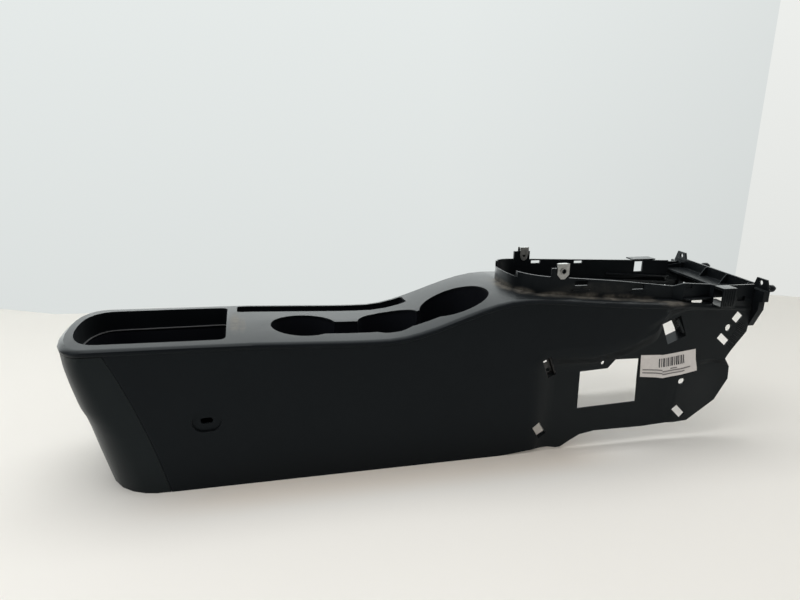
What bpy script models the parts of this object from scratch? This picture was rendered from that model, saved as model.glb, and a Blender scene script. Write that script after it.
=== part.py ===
# Car centre console: one moulded body with a tray at the tail, three cups in line, a side slot and a
# raised gear aperture, closed at the tail by a rear panel and at the front by a carrier.
# Metres, +Z up, +X towards the front of the car, Y = 0 on the middle plane, Z = 0 on the floor line.
# Stations along X are measured from a datum plane just behind the tail, and the finished assembly
# is carried back to its own middle.
import math

import bmesh
import bpy
from mathutils import Matrix, Vector

# Walls and clearances
WALL = 0.0028
LINER_WALL = 0.0022
GAP = 0.0004
SEAM_GAP = 0.0006

# Outer skin
TAIL_X = 0.0195
FRONT_X = 0.8975
HALF_WIDTH = 0.0839
WALL_DRAFT = 0.0030
CROWN = 0.0030
CREASE_DROP = 0.0066
BEAD_OVERHANG = 0.0010
DECK_EDGE_INSET = 0.0055
INNER_CHAMFER = 0.0030
TAIL_ROUND_TOP = 0.040
TAIL_ROUND_FOOT = 0.072
TAIL_POWER_TOP = 2.6
TAIL_POWER_FOOT = 2.3

# Slanted profile of the tail: share of the wall's height, and how far it stands in from the tip
TAIL_PROFILE = (
    (0.00, 0.0385),
    (0.07, 0.0355),
    (0.27, 0.0275),
    (0.43, 0.0215),
    (0.505, 0.0180),
    (0.565, 0.0135),
    (0.615, 0.0110),
    (0.76, 0.0053),
    (0.87, 0.0019),
    (1.00, 0.0000),
)

# Rounded bead between wall and deck: inset from the wall and rise over the crease
EDGE_BEAD = (
    (-0.9 * BEAD_OVERHANG, 0.0012),
    (-BEAD_OVERHANG, 0.0030),
    (0.0, 0.0048),
    (0.0022, 0.0061),
)

# Rows and stations at which the skin is drawn
PLAIN_SHARES = (0.0, 0.07, 0.27, 0.43, 0.505, 0.565, 0.615, 0.76, 0.87, 0.94, 1.0)
WING_SHARES = (0.0, 0.12, 0.25, 0.42, 0.56, 0.63, 0.82, 1.0)
TAIL_ANGLES = (0, 14, 30, 46, 60, 72, 82, 90)
PLAIN_STATIONS = (0.160, 0.230, 0.300, 0.345)

# Heights of the deck at its edges
TAIL_DECK_Z = 0.1754
TRAY_DECK_Z = 0.1733
VALLEY_DECK_Z = 0.1672
HUMP_DECK_Z = 0.2085
APERTURE_DECK_Z = 0.1980
FRONT_DECK_Z = 0.1850
VALLEY_X = 0.385
HUMP_X = 0.562
APERTURE_DECK_X = 0.700

# Tail panel
SEAM_TOP_X = 0.0740
SEAM_MIDDLE_X = 0.1135
SEAM_MIDDLE_Z = 0.0850
SEAM_FOOT_X = 0.1333
PANEL_WALL = 0.0048
TONGUE_REACH = 0.010
TONGUE_RISE = 0.0020

# Tray
TRAY_RIM = 0.0135
TRAY_LENGTH = 0.168
TRAY_HALF_WIDTH = 0.0657
TRAY_ROUND = 0.035
TRAY_CORNER = 0.008
TRAY_SKIRT = 0.026
TRAY_DEPTH = 0.072
TRAY_LEDGE = 0.0015
TRAY_DRAFT = 0.0030
TRAY_FLANGE = 0.0032
TRAY_BACK_SLOPE = 0.0050
TRAY_BOSS_RUN = 0.0700

# Cups, in one line beside the middle plane
CUP_LINE_Y = -0.0205
CUP_RADIUS = 0.0405
CUP_FOOT_RADIUS = 0.0360
CUP_FIRST_X = 0.2935
CUP_PITCH = 0.1080
CUP_FLOOR_Z = 0.1050
LARGE_CUP_RADIUS = 0.0445
LARGE_CUP_FOOT_RADIUS = 0.0400
LARGE_CUP_STEP = 0.0860
LARGE_CUP_FLOOR_Z = 0.1180
THROAT_SHIFT_Y = -0.0120
THROAT_HALF_WIDTH = 0.0220
THROAT_FLOOR_Z = 0.1420
CUP_SHADOW = 0.0006

# Slot along the far side
SLOT_START_X = 0.2130
SLOT_LENGTH = 0.2270
SLOT_INNER_Y = 0.0400
SLOT_OUTER_Y = 0.0725
SLOT_FLOOR_Z = 0.1350
SLOT_CORNER = 0.0050

# Raised wall round the gear aperture
RING_REAR_X = 0.5590
RING_HALF_WIDTH = 0.0600
RING_ROUND = 0.0485
RING_POWER = 2.3
RING_WALL = 0.0025
RING_LEDGE = 0.0070
RING_JOG_X = 0.7850
RING_JOG_Y = 0.0700
RING_JOG_RUN = 0.0095
CHEEK_JOG_X = 0.8350
CHEEK_JOG_RUN = 0.0035
RING_ROOT = 0.0020
NOTCH_RUN = 0.0080
NOTCH_START_Z = 0.2300
NOTCH_Z = 0.2270
NOTCH_END_Y = 0.0300
NEAR_RING_LINE = (
    (RING_REAR_X, 0.2350),
    (0.5670, 0.2342),
    (0.628, 0.2290),
    (0.684, 0.2240),
    (0.742, 0.2170),
    (RING_JOG_X, 0.2120),
)
FAR_RING_LINE = (
    (RING_REAR_X, 0.2350),
    (0.579, 0.2326),
    (0.628, 0.2298),
    (0.728, 0.2262),
    (0.788, 0.2243),
    (0.864, 0.2212),
)
RING_STEP_RISE = 0.0030

# Clip windows of the ring: rear edge along X, length, height and drop below the ring's top
NEAR_WINDOWS = (
    (0.6375, 0.0190, 0.0065, 0.0028),
    (0.7220, 0.0180, 0.0065, 0.0020),
)
FAR_WINDOWS = (
    (0.6310, 0.0143, 0.0040, 0.0018),
    (0.7005, 0.0138, 0.0035, 0.0018),
)
TALL_SLOT_X = 0.8035
TALL_SLOT_LENGTH = 0.0145
TALL_SLOT_FOOT_Z = 0.2055
TALL_SLOT_HEIGHT = 0.0155

# Blind window, lip and slit of the near jog, and the lip and shelf of the far wall
JOG_WINDOW = (0.7965, 0.0100, 0.0055, 0.0022)
JOG_WINDOW_DEPTH = 0.0012
JOG_LIP_REACH = 0.0065
JOG_LIP_Z = 0.1975
SLIT_X = 0.8085
SLIT_LENGTH = 0.0180
SLIT_SPREAD = 0.0140
SLIT_TOP_Z = 0.1935
LIP_WALL = 0.0018
FAR_LIP_X = 0.8010
FAR_LIP_LENGTH = 0.0390
FAR_LIP_REACH = 0.0170
FAR_LIP_Z = 0.2243
SHELF_START_X = 0.7550
SHELF_START_Z = 0.2050
SHELF_END_Z = 0.1975
WALL_SHELF_REACH = 0.0070

# Posts that carry the ring clips
POST_X = 0.6157
POST_LENGTH = 0.0245
POST_RISE = 0.0160
POST_TONGUE_LENGTH = 0.0140
POST_SHOULDER_DROP = 0.0045
POST_WALL = 0.0030
CLIP_SHIFT = 0.0030
CLIP_LENGTH = 0.0165
CLIP_HEIGHT = 0.0200
CLIP_SHEET = 0.0010
CLIP_HOLE_RADIUS = 0.0032

# Trim recess of the wing
WING_X = 0.5820
WING_RUN = 0.0140
WING_STEP = 0.0030
WING_SOFT = 0.0140
PLATEAU_STEP = 0.0030
PLATEAU_REAR_X = 0.6100
PLATEAU_FRONT_X = 0.7760
PLATEAU_TOP_Z = 0.1300
PLATEAU_FOOT_Z = 0.0380
FLAP_X = 0.7950
FLAP_TOP_Z = 0.1080
FLAP_STEP = 0.0024

# Upper edge of the trim recess, as its depth below the crease
RECESS_LINE = (
    (WING_X, 0.0720),
    (WING_X + 0.085, 0.0640),
    (WING_X + 0.134, 0.0480),
    (WING_X + 0.172, 0.0270),
    (WING_X + 0.195, 0.0090),
    (WING_X + 0.220, 0.0030),
    (FRONT_X, 0.0030),
)

# Lower and front edge of the wing; the far wing is cut back where the near one has its flap
WING_EDGE = (
    (0.538, 0.0),
    (0.586, 0.0042),
    (0.606, 0.0045),
    (0.618, 0.0022),
    (0.625, 0.0025),
    (0.638, 0.0102),
    (0.652, 0.0173),
    (0.674, 0.0206),
)
NEAR_FLAP_EDGE = ((0.747, 0.0199), (0.816, 0.0235), (0.857, 0.051))
FAR_FLAP_EDGE = ((0.728, 0.0200), (0.739, 0.036), (0.742, 0.058), (0.857, 0.060))
WING_FRONT_EDGE = (
    (0.875, 0.081),
    (0.874, 0.099),
    (0.868, 0.110),
    (0.875, 0.121),
    (0.8965, 0.148),
    (FRONT_X, 0.157),
)

# Openings of the wing on x and z: the window's corners, then centre, length, height and lean
SIDE_WINDOW = (
    (0.6470, 0.0535),
    (0.7355, 0.0560),
    (0.7330, 0.1190),
    (0.6970, 0.1200),
    (0.6870, 0.1080),
    (0.6465, 0.1062),
)
CLIP_HOLE = ((0.6005, 0.1160), 0.0130, 0.0260, 22.0)
PLUG_HOLE = ((0.5915, 0.0300), 0.0125, 0.0200, 32.0)
POCKET_HOLE = ((0.7800, 0.1565), 0.0290, 0.0310, 22.0)
FLAP_HOLE = ((0.8010, 0.0380), 0.0205, 0.0095, -44.0)
UPPER_CORNER_HOLE = ((0.8780, 0.1690), 0.0125, 0.0135, -38.0)
LOWER_CORNER_HOLE = ((0.8600, 0.1385), 0.0195, 0.0095, -39.0)
EDGE_HOLE = ((0.8790, 0.1955), 0.0125, 0.0065, 0.0)
OVAL_HOLE = ((0.8000, 0.0828), 0.0105, 0.0084)
WINDOW_PIN_HOLE = ((0.6785, 0.1165), 0.0030)
CORNER_PIN_HOLE = ((0.8655, 0.1550), 0.0050)

# Dished screw seat low on each side
SEAT_X = 0.1760
SEAT_Z = 0.0835
SEAT_LENGTH = 0.0330
SEAT_HEIGHT = 0.0255
SEAT_DEPTH = 0.0030
SEAT_SLOT_LENGTH = 0.0140
SEAT_SLOT_HEIGHT = 0.0075

# Clip sleeves behind the holes of the wing
SLEEVE_WALL = 0.0018
SLEEVE_DEPTH = 0.0080
PLUG_SLEEVE_DEPTH = 0.0030
POCKET_DEPTH = 0.0205

# Hooded sockets on the front corners
SOCKET_X = 0.8345
FAR_SOCKET_SHIFT = 0.0090
SOCKET_LENGTH = 0.0210
SOCKET_REACH = 0.0160
SOCKET_FOOT_Z = 0.1880
SOCKET_TOP_Z = 0.2150
SOCKET_WALL = 0.0020

# Front carrier
BEAM_STANDOFF = 0.0066
BEAM_WALL = 0.0030
BEAM_TOP_Z = 0.2170
BEAM_HEIGHT = 0.0370
BEAM_LEAN = 0.032
LEG_OUTER_Y = 0.0970
LEG_INNER_Y = 0.0725
LEG_STEP = 0.0055
LEG_FOOT_WIDTH = 0.0065
LEG_SHOULDER_DROP = 0.0200
LEG_WAIST_DROP = 0.0325
LEG_FOOT_DROP = 0.0590
CHEEK_LENGTH = 0.0400
CHEEK_FOOT_DROP = 0.0340
CHEEK_WALL = 0.0025
RIB_WALL = 0.0020
RIB_REACH = 0.0240
RIB_PITCH = 0.0425
SHELF_DROP = 0.0140
SHELF_REACH = 0.0300
TAB_Y = 0.0820
TAB_WIDTH = 0.0220
TAB_RISE = 0.0090
TAB_HOLE_RADIUS = 0.0032
PIN_Y = 0.0660
PIN_DROP = 0.0110
PIN_RADIUS = 0.0034
PIN_HEAD_RADIUS = 0.0052
PIN_LENGTH = 0.0394

# Screws that hold the liners up to the body's bosses
BOSS_RADIUS = 0.0040
BOSS_DROP = 0.0130
BOSS_STANDOFF = 0.0012
EAR_WALL = 0.0025
EAR_RADIUS = 0.0050
SCREW_RADIUS = 0.0015
SCREW_HEAD_RADIUS = 0.0035
SCREW_HEAD_HEIGHT = 0.0022
SCREW_LENGTH = 0.0105

# Lines that follow from the sizes above
TRAY_REAR_X = TAIL_X + TRAY_RIM
TRAY_FRONT_X = TRAY_REAR_X + TRAY_LENGTH
CUP_SECOND_X = CUP_FIRST_X + CUP_PITCH
CUP_THIRD_X = CUP_SECOND_X + LARGE_CUP_STEP
SLOT_END_X = SLOT_START_X + SLOT_LENGTH
SEAM_TOP_Z = TAIL_DECK_Z - CREASE_DROP
BEAM_X = FRONT_X + GAP + BEAM_STANDOFF
CHEEK_REAR_X = BEAM_X - CHEEK_LENGTH
NOTCH_X = RING_REAR_X + NOTCH_RUN
THROAT_LINE_Y = CUP_LINE_Y + THROAT_SHIFT_Y
PIN_END_X = BEAM_X + BEAM_WALL + PIN_LENGTH
MIDDLE_X = (TAIL_X - BEAD_OVERHANG + PIN_END_X) / 2


def clear_scene():
    for item in list(bpy.data.objects):
        bpy.data.objects.remove(item, do_unlink=True)


def make_material(name, colour, roughness, metallic=0.0):
    material = bpy.data.materials.new(name)
    material.use_nodes = True
    shader = material.node_tree.nodes["Principled BSDF"]
    shader.inputs["Base Color"].default_value = (*colour, 1.0)
    shader.inputs["Roughness"].default_value = roughness
    shader.inputs["Metallic"].default_value = metallic
    return material


def make_object(name, mesh_data):
    mesh = bpy.data.meshes.new(name)
    mesh_data.to_mesh(mesh)
    mesh_data.free()
    item = bpy.data.objects.new(name, mesh)
    bpy.context.scene.collection.objects.link(item)
    return item


def combine(target, tool, operation):
    # Boolean of two closed bodies, worked into the target's own mesh
    modifier = target.modifiers.new("combine", "BOOLEAN")
    modifier.operation = operation
    modifier.solver = "EXACT"
    modifier.object = tool
    graph = bpy.context.evaluated_depsgraph_get()
    mesh = bpy.data.meshes.new_from_object(target.evaluated_get(graph))
    target.modifiers.clear()
    target.data = mesh
    bpy.data.objects.remove(tool, do_unlink=True)


def add(target, *tools):
    for tool in tools:
        combine(target, tool, "UNION")


def cut(target, *tools):
    for tool in tools:
        combine(target, tool, "DIFFERENCE")


def keep(target, tool):
    combine(target, tool, "INTERSECT")


def ramp(start, end, value):
    # Smooth step from 0 at start to 1 at end
    share = min(max((value - start) / (end - start), 0.0), 1.0)
    return share * share * (3.0 - 2.0 * share)


def curve_through(stations):
    # Smooth curve through (x, value) stations, with no overshoot between them
    xs = [x for x, _ in stations]
    values = [value for _, value in stations]
    widths = [b - a for a, b in zip(xs, xs[1:])]
    slopes = [(b - a) / w for a, b, w in zip(values, values[1:], widths)]
    tangents = [slopes[0]]
    for left, right in zip(slopes, slopes[1:]):
        tangents.append(0.0 if left * right <= 0 else 2.0 * left * right / (left + right))
    tangents.append(slopes[-1])

    def value_at(x):
        x = min(max(x, xs[0]), xs[-1])
        index = max(i for i in range(len(widths)) if x >= xs[i])
        t = (x - xs[index]) / widths[index]
        start, end = values[index], values[index + 1]
        lean = widths[index] * tangents[index]
        next_lean = widths[index] * tangents[index + 1]
        return (
            (2 * t**3 - 3 * t**2 + 1) * start
            + (t**3 - 2 * t**2 + t) * lean
            + (3 * t**2 - 2 * t**3) * end
            + (t**3 - t**2) * next_lean
        )

    return value_at


def steps(start, end, count):
    return [start + (end - start) * i / count for i in range(count)]


# Height of the deck along its edges
edge_height = curve_through(
    [
        (TAIL_X, TAIL_DECK_Z),
        (TRAY_FRONT_X, TRAY_DECK_Z),
        (VALLEY_X, VALLEY_DECK_Z),
        (HUMP_X, HUMP_DECK_Z),
        (APERTURE_DECK_X, APERTURE_DECK_Z),
        (FRONT_X, FRONT_DECK_Z),
    ]
)

tail_setback = curve_through(TAIL_PROFILE)
recess_line_drop = curve_through(RECESS_LINE)


def deck_height(x, y):
    return edge_height(x) + CROWN * (1.0 - (y / HALF_WIDTH) ** 2)


def crease_height(x):
    return edge_height(x) - CREASE_DROP


def wall_half(share):
    # Half width of the plain side wall at a share of its height
    return HALF_WIDTH - BEAD_OVERHANG + WALL_DRAFT * (1.0 - share)


def wing_inset(x, z):
    # How far the wing stands in from the plain side wall
    recess_z = crease_height(x) - recess_line_drop(x)
    recess = ramp(WING_X, WING_X + WING_RUN, x) * (1.0 - ramp(recess_z, recess_z + WING_SOFT, z))
    along = ramp(PLATEAU_REAR_X - WING_RUN, PLATEAU_REAR_X, x)
    along -= ramp(PLATEAU_FRONT_X - WING_RUN, PLATEAU_FRONT_X, x)
    upward = ramp(PLATEAU_FOOT_Z - WING_SOFT, PLATEAU_FOOT_Z, z)
    upward -= ramp(PLATEAU_TOP_Z - WING_SOFT, PLATEAU_TOP_Z, z)
    flap = ramp(FLAP_X - WING_RUN, FLAP_X, x) * (1.0 - ramp(FLAP_TOP_Z - WING_SOFT / 2, FLAP_TOP_Z, z))
    return WING_STEP * recess + PLATEAU_STEP * along * upward - FLAP_STEP * flap


def wall_levels(x):
    # Heights of the side wall's rows, which gather at the recess line in the wing
    crease = crease_height(x)
    if x < WING_X - WING_RUN:
        return [share * crease for share in PLAIN_SHARES]
    recess_z = crease - recess_line_drop(x)
    rows = [share * recess_z for share in WING_SHARES]
    middle = recess_z + (min(recess_z + WING_SOFT, crease) - recess_z) / 2
    upper = min(recess_z + WING_SOFT, (middle + crease) / 2)
    return rows + [middle, upper, crease]


def tail_point(angle, share, inset):
    # Point of the rounded tail in plan, as a share of the wall's height, set in from the skin
    round_length = TAIL_ROUND_FOOT + (TAIL_ROUND_TOP - TAIL_ROUND_FOOT) * share
    power = TAIL_POWER_FOOT + (TAIL_POWER_TOP - TAIL_POWER_FOOT) * share
    tip = TAIL_X + tail_setback(share) + inset
    reach = round_length - inset
    half = wall_half(share) - inset
    turn = math.radians(angle)
    x = tip + reach * (1.0 - math.cos(turn) ** (2.0 / power)) if angle < 90 else tip + reach
    return x, half * math.sin(turn) ** (2.0 / power)


def body_stations():
    wing_start = WING_X - WING_RUN
    return (
        list(PLAIN_STATIONS)
        + steps(VALLEY_X - 0.015, HUMP_X, 10)
        + [HUMP_X, wing_start]
        + steps(WING_X, PLATEAU_REAR_X, 2)
        + steps(PLATEAU_REAR_X, PLATEAU_FRONT_X - WING_RUN, 5)
        + steps(PLATEAU_FRONT_X - WING_RUN, FLAP_X, 3)
        + steps(FLAP_X, FRONT_X, 3)
        + [FRONT_X]
    )


def skin_row(kind, value, depth):
    # Row of the skin from the foot of the near wall to the middle of the deck, set in by depth
    points = []
    x = TAIL_X + TAIL_ROUND_TOP if kind == "tail" else value
    crease = crease_height(x)
    levels = [share * crease for share in PLAIN_SHARES] if kind == "tail" else wall_levels(value)
    for z in levels:
        if kind == "tail":
            along, half = tail_point(value, z / crease, depth)
        else:
            along, half = value, wall_half(z / crease) - wing_inset(value, z) - depth
        points.append(Vector((along, -half, z)))
    if depth == 0.0:
        bead = EDGE_BEAD
        edge_inset = DECK_EDGE_INSET
    else:
        bead = ((depth, CREASE_DROP - depth - INNER_CHAMFER),)
        edge_inset = depth + INNER_CHAMFER
    inset_at_crease = 0.0 if kind == "tail" else wing_inset(value, crease)
    for inset, rise in bead:
        along, half = tail_point(value, 1.0, inset) if kind == "tail" else (value, wall_half(1.0) - inset)
        points.append(Vector((along, -(half - inset_at_crease), crease_height(along) + rise)))
    along, half = value, wall_half(1.0) - edge_inset
    if kind == "tail":
        along, half = tail_point(value, 1.0, edge_inset)
    half -= inset_at_crease
    for share in (1.0, 0.55, 0.0):
        top = deck_height(along, half * share) - depth
        points.append(Vector((along, -half * share, top)))
    return points


def skin_solid(name, depth, front, foot=0.0, length=None):
    # Closed body of the console's outer form, or of the space a given depth inside it
    rows = [("tail", angle) for angle in TAIL_ANGLES]
    rows += [("side", x) for x in body_stations() if length is None or x < length]
    mesh = bmesh.new()
    halves = []
    for kind, value in rows:
        near = skin_row(kind, value, depth)
        if foot < 0.0:
            near.insert(0, Vector((near[0].x, near[0].y, foot)))
        if (kind, value) == rows[-1]:
            for point in near:
                point.x = front
        far = [Vector((point.x, -point.y, point.z)) for point in reversed(near[:-1])]
        halves.append([mesh.verts.new(point) for point in near + far])
    for row, next_row in zip(halves, halves[1:]):
        for index in range(len(row)):
            after = (index + 1) % len(row)
            mesh.faces.new((row[index], row[after], next_row[after], next_row[index]))
    mesh.faces.new(halves[0])
    mesh.faces.new(halves[-1])
    close_mesh(mesh)
    bmesh.ops.dissolve_limit(mesh, angle_limit=math.radians(0.4), verts=mesh.verts, edges=mesh.edges)
    bmesh.ops.triangulate(mesh, faces=mesh.faces)
    return make_object(name, mesh)


def close_mesh(mesh):
    bmesh.ops.remove_doubles(mesh, verts=mesh.verts, dist=0.00002)
    bmesh.ops.dissolve_degenerate(mesh, dist=0.00001, edges=mesh.edges)
    bmesh.ops.recalc_face_normals(mesh, faces=mesh.faces)


def upright(name, outline, foot, top):
    # Upright solid on a closed plan outline; foot and top are heights or functions of x and y
    mesh = bmesh.new()
    foot_at = foot if callable(foot) else lambda x, y: foot
    top_at = top if callable(top) else lambda x, y: top
    lower = [mesh.verts.new((x, y, foot_at(x, y))) for x, y in outline]
    upper = [mesh.verts.new((x, y, top_at(x, y))) for x, y in outline]
    return finish_prism(name, mesh, lower, upper)


def sideways(name, outline, start_y, end_y):
    # Solid across the console on a closed outline of x and z
    mesh = bmesh.new()
    start = [mesh.verts.new((x, start_y, z)) for x, z in outline]
    end = [mesh.verts.new((x, end_y, z)) for x, z in outline]
    return finish_prism(name, mesh, start, end)


def lengthways(name, outline, start_x, end_x):
    # Solid along the console on a closed outline of y and z
    mesh = bmesh.new()
    start = [mesh.verts.new((start_x, y, z)) for y, z in outline]
    end = [mesh.verts.new((end_x, y, z)) for y, z in outline]
    return finish_prism(name, mesh, start, end)


def finish_prism(name, mesh, first, second):
    count = len(first)
    mesh.faces.new(first)
    mesh.faces.new(second)
    for index in range(count):
        after = (index + 1) % count
        mesh.faces.new((first[index], first[after], second[after], second[index]))
    close_mesh(mesh)
    bmesh.ops.triangulate(mesh, faces=mesh.faces)
    return make_object(name, mesh)


def block(name, low, high):
    mesh = bmesh.new()
    size = Vector(high) - Vector(low)
    middle = (Vector(high) + Vector(low)) / 2
    bmesh.ops.create_cube(mesh, size=1.0, matrix=Matrix.Translation(middle) @ Matrix.Diagonal((*size, 1.0)))
    return make_object(name, mesh)


def round_solid(name, centre, foot_radius, top_radius, foot, top, sides):
    mesh = bmesh.new()
    bmesh.ops.create_cone(
        mesh,
        cap_ends=True,
        segments=sides,
        radius1=foot_radius,
        radius2=top_radius,
        depth=top - foot,
        matrix=Matrix.Translation((centre[0], centre[1], (foot + top) / 2)),
    )
    return make_object(name, mesh)


def pin_along(name, axis, centre, radius, length, sides):
    mesh = bmesh.new()
    turn = Matrix.Rotation(math.radians(90), 4, "Y" if axis == "X" else "X")
    place = Matrix.Translation(centre) @ turn
    bmesh.ops.create_cone(
        mesh, cap_ends=True, segments=sides, radius1=radius, radius2=radius, depth=length, matrix=place
    )
    return make_object(name, mesh)


def circle(radius, sides, centre=(0.0, 0.0)):
    turns = [2 * math.pi * step / sides for step in range(sides)]
    return [(centre[0] + radius * math.cos(turn), centre[1] + radius * math.sin(turn)) for turn in turns]


def oval(length, height, centre, sides):
    # Rounded slot outline, longer along its first axis
    radius = height / 2
    shift = (length - height) / 2
    points = []
    for x, y in circle(radius, sides):
        points.append((centre[0] + x + math.copysign(shift, x if abs(x) > 1e-9 else y), centre[1] + y))
    return points


def rectangle(length, height, centre, lean):
    # Rectangle about a centre, turned by lean degrees
    turn = math.radians(lean)
    corners = ((-length, -height), (length, -height), (length, height), (-length, height))
    return [
        (
            centre[0] + (x * math.cos(turn) - y * math.sin(turn)) / 2,
            centre[1] + (x * math.sin(turn) + y * math.cos(turn)) / 2,
        )
        for x, y in corners
    ]


def tray_outline(grow, back=0.0):
    # D-shaped plan of the tray, grown outwards, with its rounded back moved forward
    front = TRAY_FRONT_X + grow
    half = TRAY_HALF_WIDTH + grow
    centre_x = TRAY_REAR_X + TRAY_ROUND + back
    points = []
    for step in range(-8, 9):
        turn = math.radians(90 * step / 8)
        x = centre_x - (TRAY_ROUND + grow) * max(math.cos(turn), 0.0) ** 0.8
        y = math.copysign(half * abs(math.sin(turn)) ** 0.8, step)
        points.append((x, y))
    corner = TRAY_CORNER + grow
    for side, start in ((1, 90), (-1, 0)):
        for step in range(4):
            turn = math.radians(start - 30 * step)
            x = front - corner + corner * math.cos(turn)
            points.append((x, side * (half - corner) + corner * math.sin(turn)))
    return points


def slot_outline(grow):
    # Plan of the side slot, a long rectangle with rounded corners
    rear = SLOT_START_X - grow
    end = SLOT_END_X + grow
    inner = SLOT_INNER_Y - grow
    outer = SLOT_OUTER_Y + grow
    corner = SLOT_CORNER + grow
    points = []
    centres = ((end - corner, outer - corner, 0), (rear + corner, outer - corner, 90))
    centres += ((rear + corner, inner + corner, 180), (end - corner, inner + corner, 270))
    for x, y, start in centres:
        for step in range(4):
            turn = math.radians(start + 30 * step)
            points.append((x + corner * math.cos(turn), y + corner * math.sin(turn)))
    return points


def ring_path(side):
    # Plan of the ring wall's outer face on one side, from the rear of the aperture to the front edge
    points = []
    for step in range(0, 9):
        turn = math.radians(90 * step / 8)
        x = RING_REAR_X + RING_ROUND * (1.0 - max(math.cos(turn), 0.0) ** (2 / RING_POWER))
        y = RING_HALF_WIDTH * math.sin(turn) ** (2 / RING_POWER)
        points.append((x, side * y))
    points.append((APERTURE_DECK_X, side * RING_HALF_WIDTH))
    if side > 0:
        return points + [(CHEEK_REAR_X - GAP, RING_HALF_WIDTH)]
    points += [(RING_JOG_X, -RING_HALF_WIDTH), (RING_JOG_X + RING_JOG_RUN, -RING_JOG_Y)]
    flange = wall_half(1.0) - WING_STEP
    return points + [(CHEEK_JOG_X, -RING_JOG_Y), (CHEEK_JOG_X + CHEEK_JOG_RUN, -flange), (FRONT_X, -flange)]


near_ring_top = curve_through(NEAR_RING_LINE)
far_ring_top = curve_through(FAR_RING_LINE)


def ring_top(x, side):
    if side > 0:
        return far_ring_top(x)
    if x > RING_JOG_X + RING_JOG_RUN / 2:
        return SOCKET_TOP_Z + (RING_STEP_RISE if x < CHEEK_JOG_X else 0.0)
    return near_ring_top(x)


def post_top():
    return max(ring_top(POST_X, -1), ring_top(POST_X, 1)) + POST_RISE


def band(name, path, wall, foot_at, top_at):
    # Upright wall along an open plan path, thickened towards the middle plane
    mesh = bmesh.new()
    rows = []
    for index, (x, y) in enumerate(path):
        before = Vector(path[max(index - 1, 0)])
        after = Vector(path[min(index + 1, len(path) - 1)])
        run = (after - before).normalized()
        normal = Vector((-run.y, run.x))
        if normal.dot(Vector((0.72 - x, -y))) < 0:
            normal = -normal
        inner = Vector((x, y)) + normal * wall
        rows.append(
            [
                mesh.verts.new((x, y, foot_at(x, y))),
                mesh.verts.new((x, y, top_at(x, y))),
                mesh.verts.new((inner.x, inner.y, top_at(x, y))),
                mesh.verts.new((inner.x, inner.y, foot_at(x, y))),
            ]
        )
    for row, next_row in zip(rows, rows[1:]):
        for index in range(4):
            after = (index + 1) % 4
            mesh.faces.new((row[index], row[after], next_row[after], next_row[index]))
    mesh.faces.new(rows[0])
    mesh.faces.new(rows[-1])
    close_mesh(mesh)
    bmesh.ops.triangulate(mesh, faces=mesh.faces)
    return make_object(name, mesh)


def seam_line(shift):
    # Bowed diagonal between body and rear panel, from the crease to the floor
    points = []
    for step in range(9):
        t = step / 8
        x = (1 - t) ** 2 * SEAM_TOP_X + 2 * t * (1 - t) * SEAM_MIDDLE_X + t**2 * SEAM_FOOT_X
        z = (1 - t) ** 2 * SEAM_TOP_Z + 2 * t * (1 - t) * SEAM_MIDDLE_Z
        points.append((x + shift, z))
    return points


def tail_wedge(name, shift, rise):
    # Space behind the seam and below the crease, which the rear panel fills
    seam = seam_line(shift)
    below = -0.020
    behind = TAIL_X - 0.020
    outline = [(seam[-1][0] + 0.005, below), (behind, below)]
    for x in (TAIL_X, TRAY_REAR_X, SEAM_TOP_X + shift):
        outline.append((behind if x == TAIL_X else x, crease_height(x) + rise))
    outline += seam[1:]
    return sideways(name, outline, -2 * HALF_WIDTH, 2 * HALF_WIDTH)


def turned(name, profile, place, sides):
    # Round solid from a profile of (radius, height) that starts and ends on its axis
    mesh = bmesh.new()
    rings = []
    for radius, height in profile:
        if radius == 0.0:
            rings.append([mesh.verts.new((0.0, 0.0, height))])
        else:
            rings.append([mesh.verts.new((x, y, height)) for x, y in circle(radius, sides)])
    for ring, next_ring in zip(rings, rings[1:]):
        for index in range(sides):
            after = (index + 1) % sides
            corners = [ring[index % len(ring)], ring[after % len(ring)], next_ring[after % len(next_ring)]]
            corners.append(next_ring[index % len(next_ring)])
            mesh.faces.new(list(dict.fromkeys(corners)))
    mesh.transform(place)
    close_mesh(mesh)
    return make_object(name, mesh)


# Places of the bosses that carry each liner
BOSS_OFFSET = LINER_WALL + BOSS_STANDOFF + BOSS_RADIUS
THROAT_ONE_X = CUP_FIRST_X + CUP_PITCH / 2
THROAT_TWO_X = CUP_SECOND_X + LARGE_CUP_STEP / 2
TRAY_BOSSES = [
    (TRAY_FRONT_X + BOSS_OFFSET, -TRAY_HALF_WIDTH * 0.67),
    (TRAY_FRONT_X + BOSS_OFFSET, TRAY_HALF_WIDTH * 0.30),
    (TRAY_REAR_X + TRAY_BOSS_RUN, TRAY_HALF_WIDTH + BOSS_OFFSET),
    (TRAY_REAR_X + TRAY_BOSS_RUN, -TRAY_HALF_WIDTH - BOSS_OFFSET),
]
CUP_BOSSES = [
    (THROAT_ONE_X, THROAT_LINE_Y - THROAT_HALF_WIDTH - BOSS_OFFSET),
    (THROAT_ONE_X, THROAT_LINE_Y + THROAT_HALF_WIDTH + BOSS_OFFSET),
    (THROAT_TWO_X, THROAT_LINE_Y - THROAT_HALF_WIDTH - BOSS_OFFSET),
    (CUP_SECOND_X, CUP_LINE_Y + CUP_RADIUS + CUP_SHADOW + BOSS_OFFSET),
]
SLOT_BOSSES = [
    (SLOT_START_X + SLOT_LENGTH * share, SLOT_INNER_Y - CUP_SHADOW - BOSS_OFFSET)
    for share in (0.20, 0.74)
]


def tray_boss_foot(x, y):
    return edge_height(x) - TRAY_SKIRT


def deck_boss_foot(x, y):
    return deck_height(x, y) - WALL - BOSS_DROP


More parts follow.
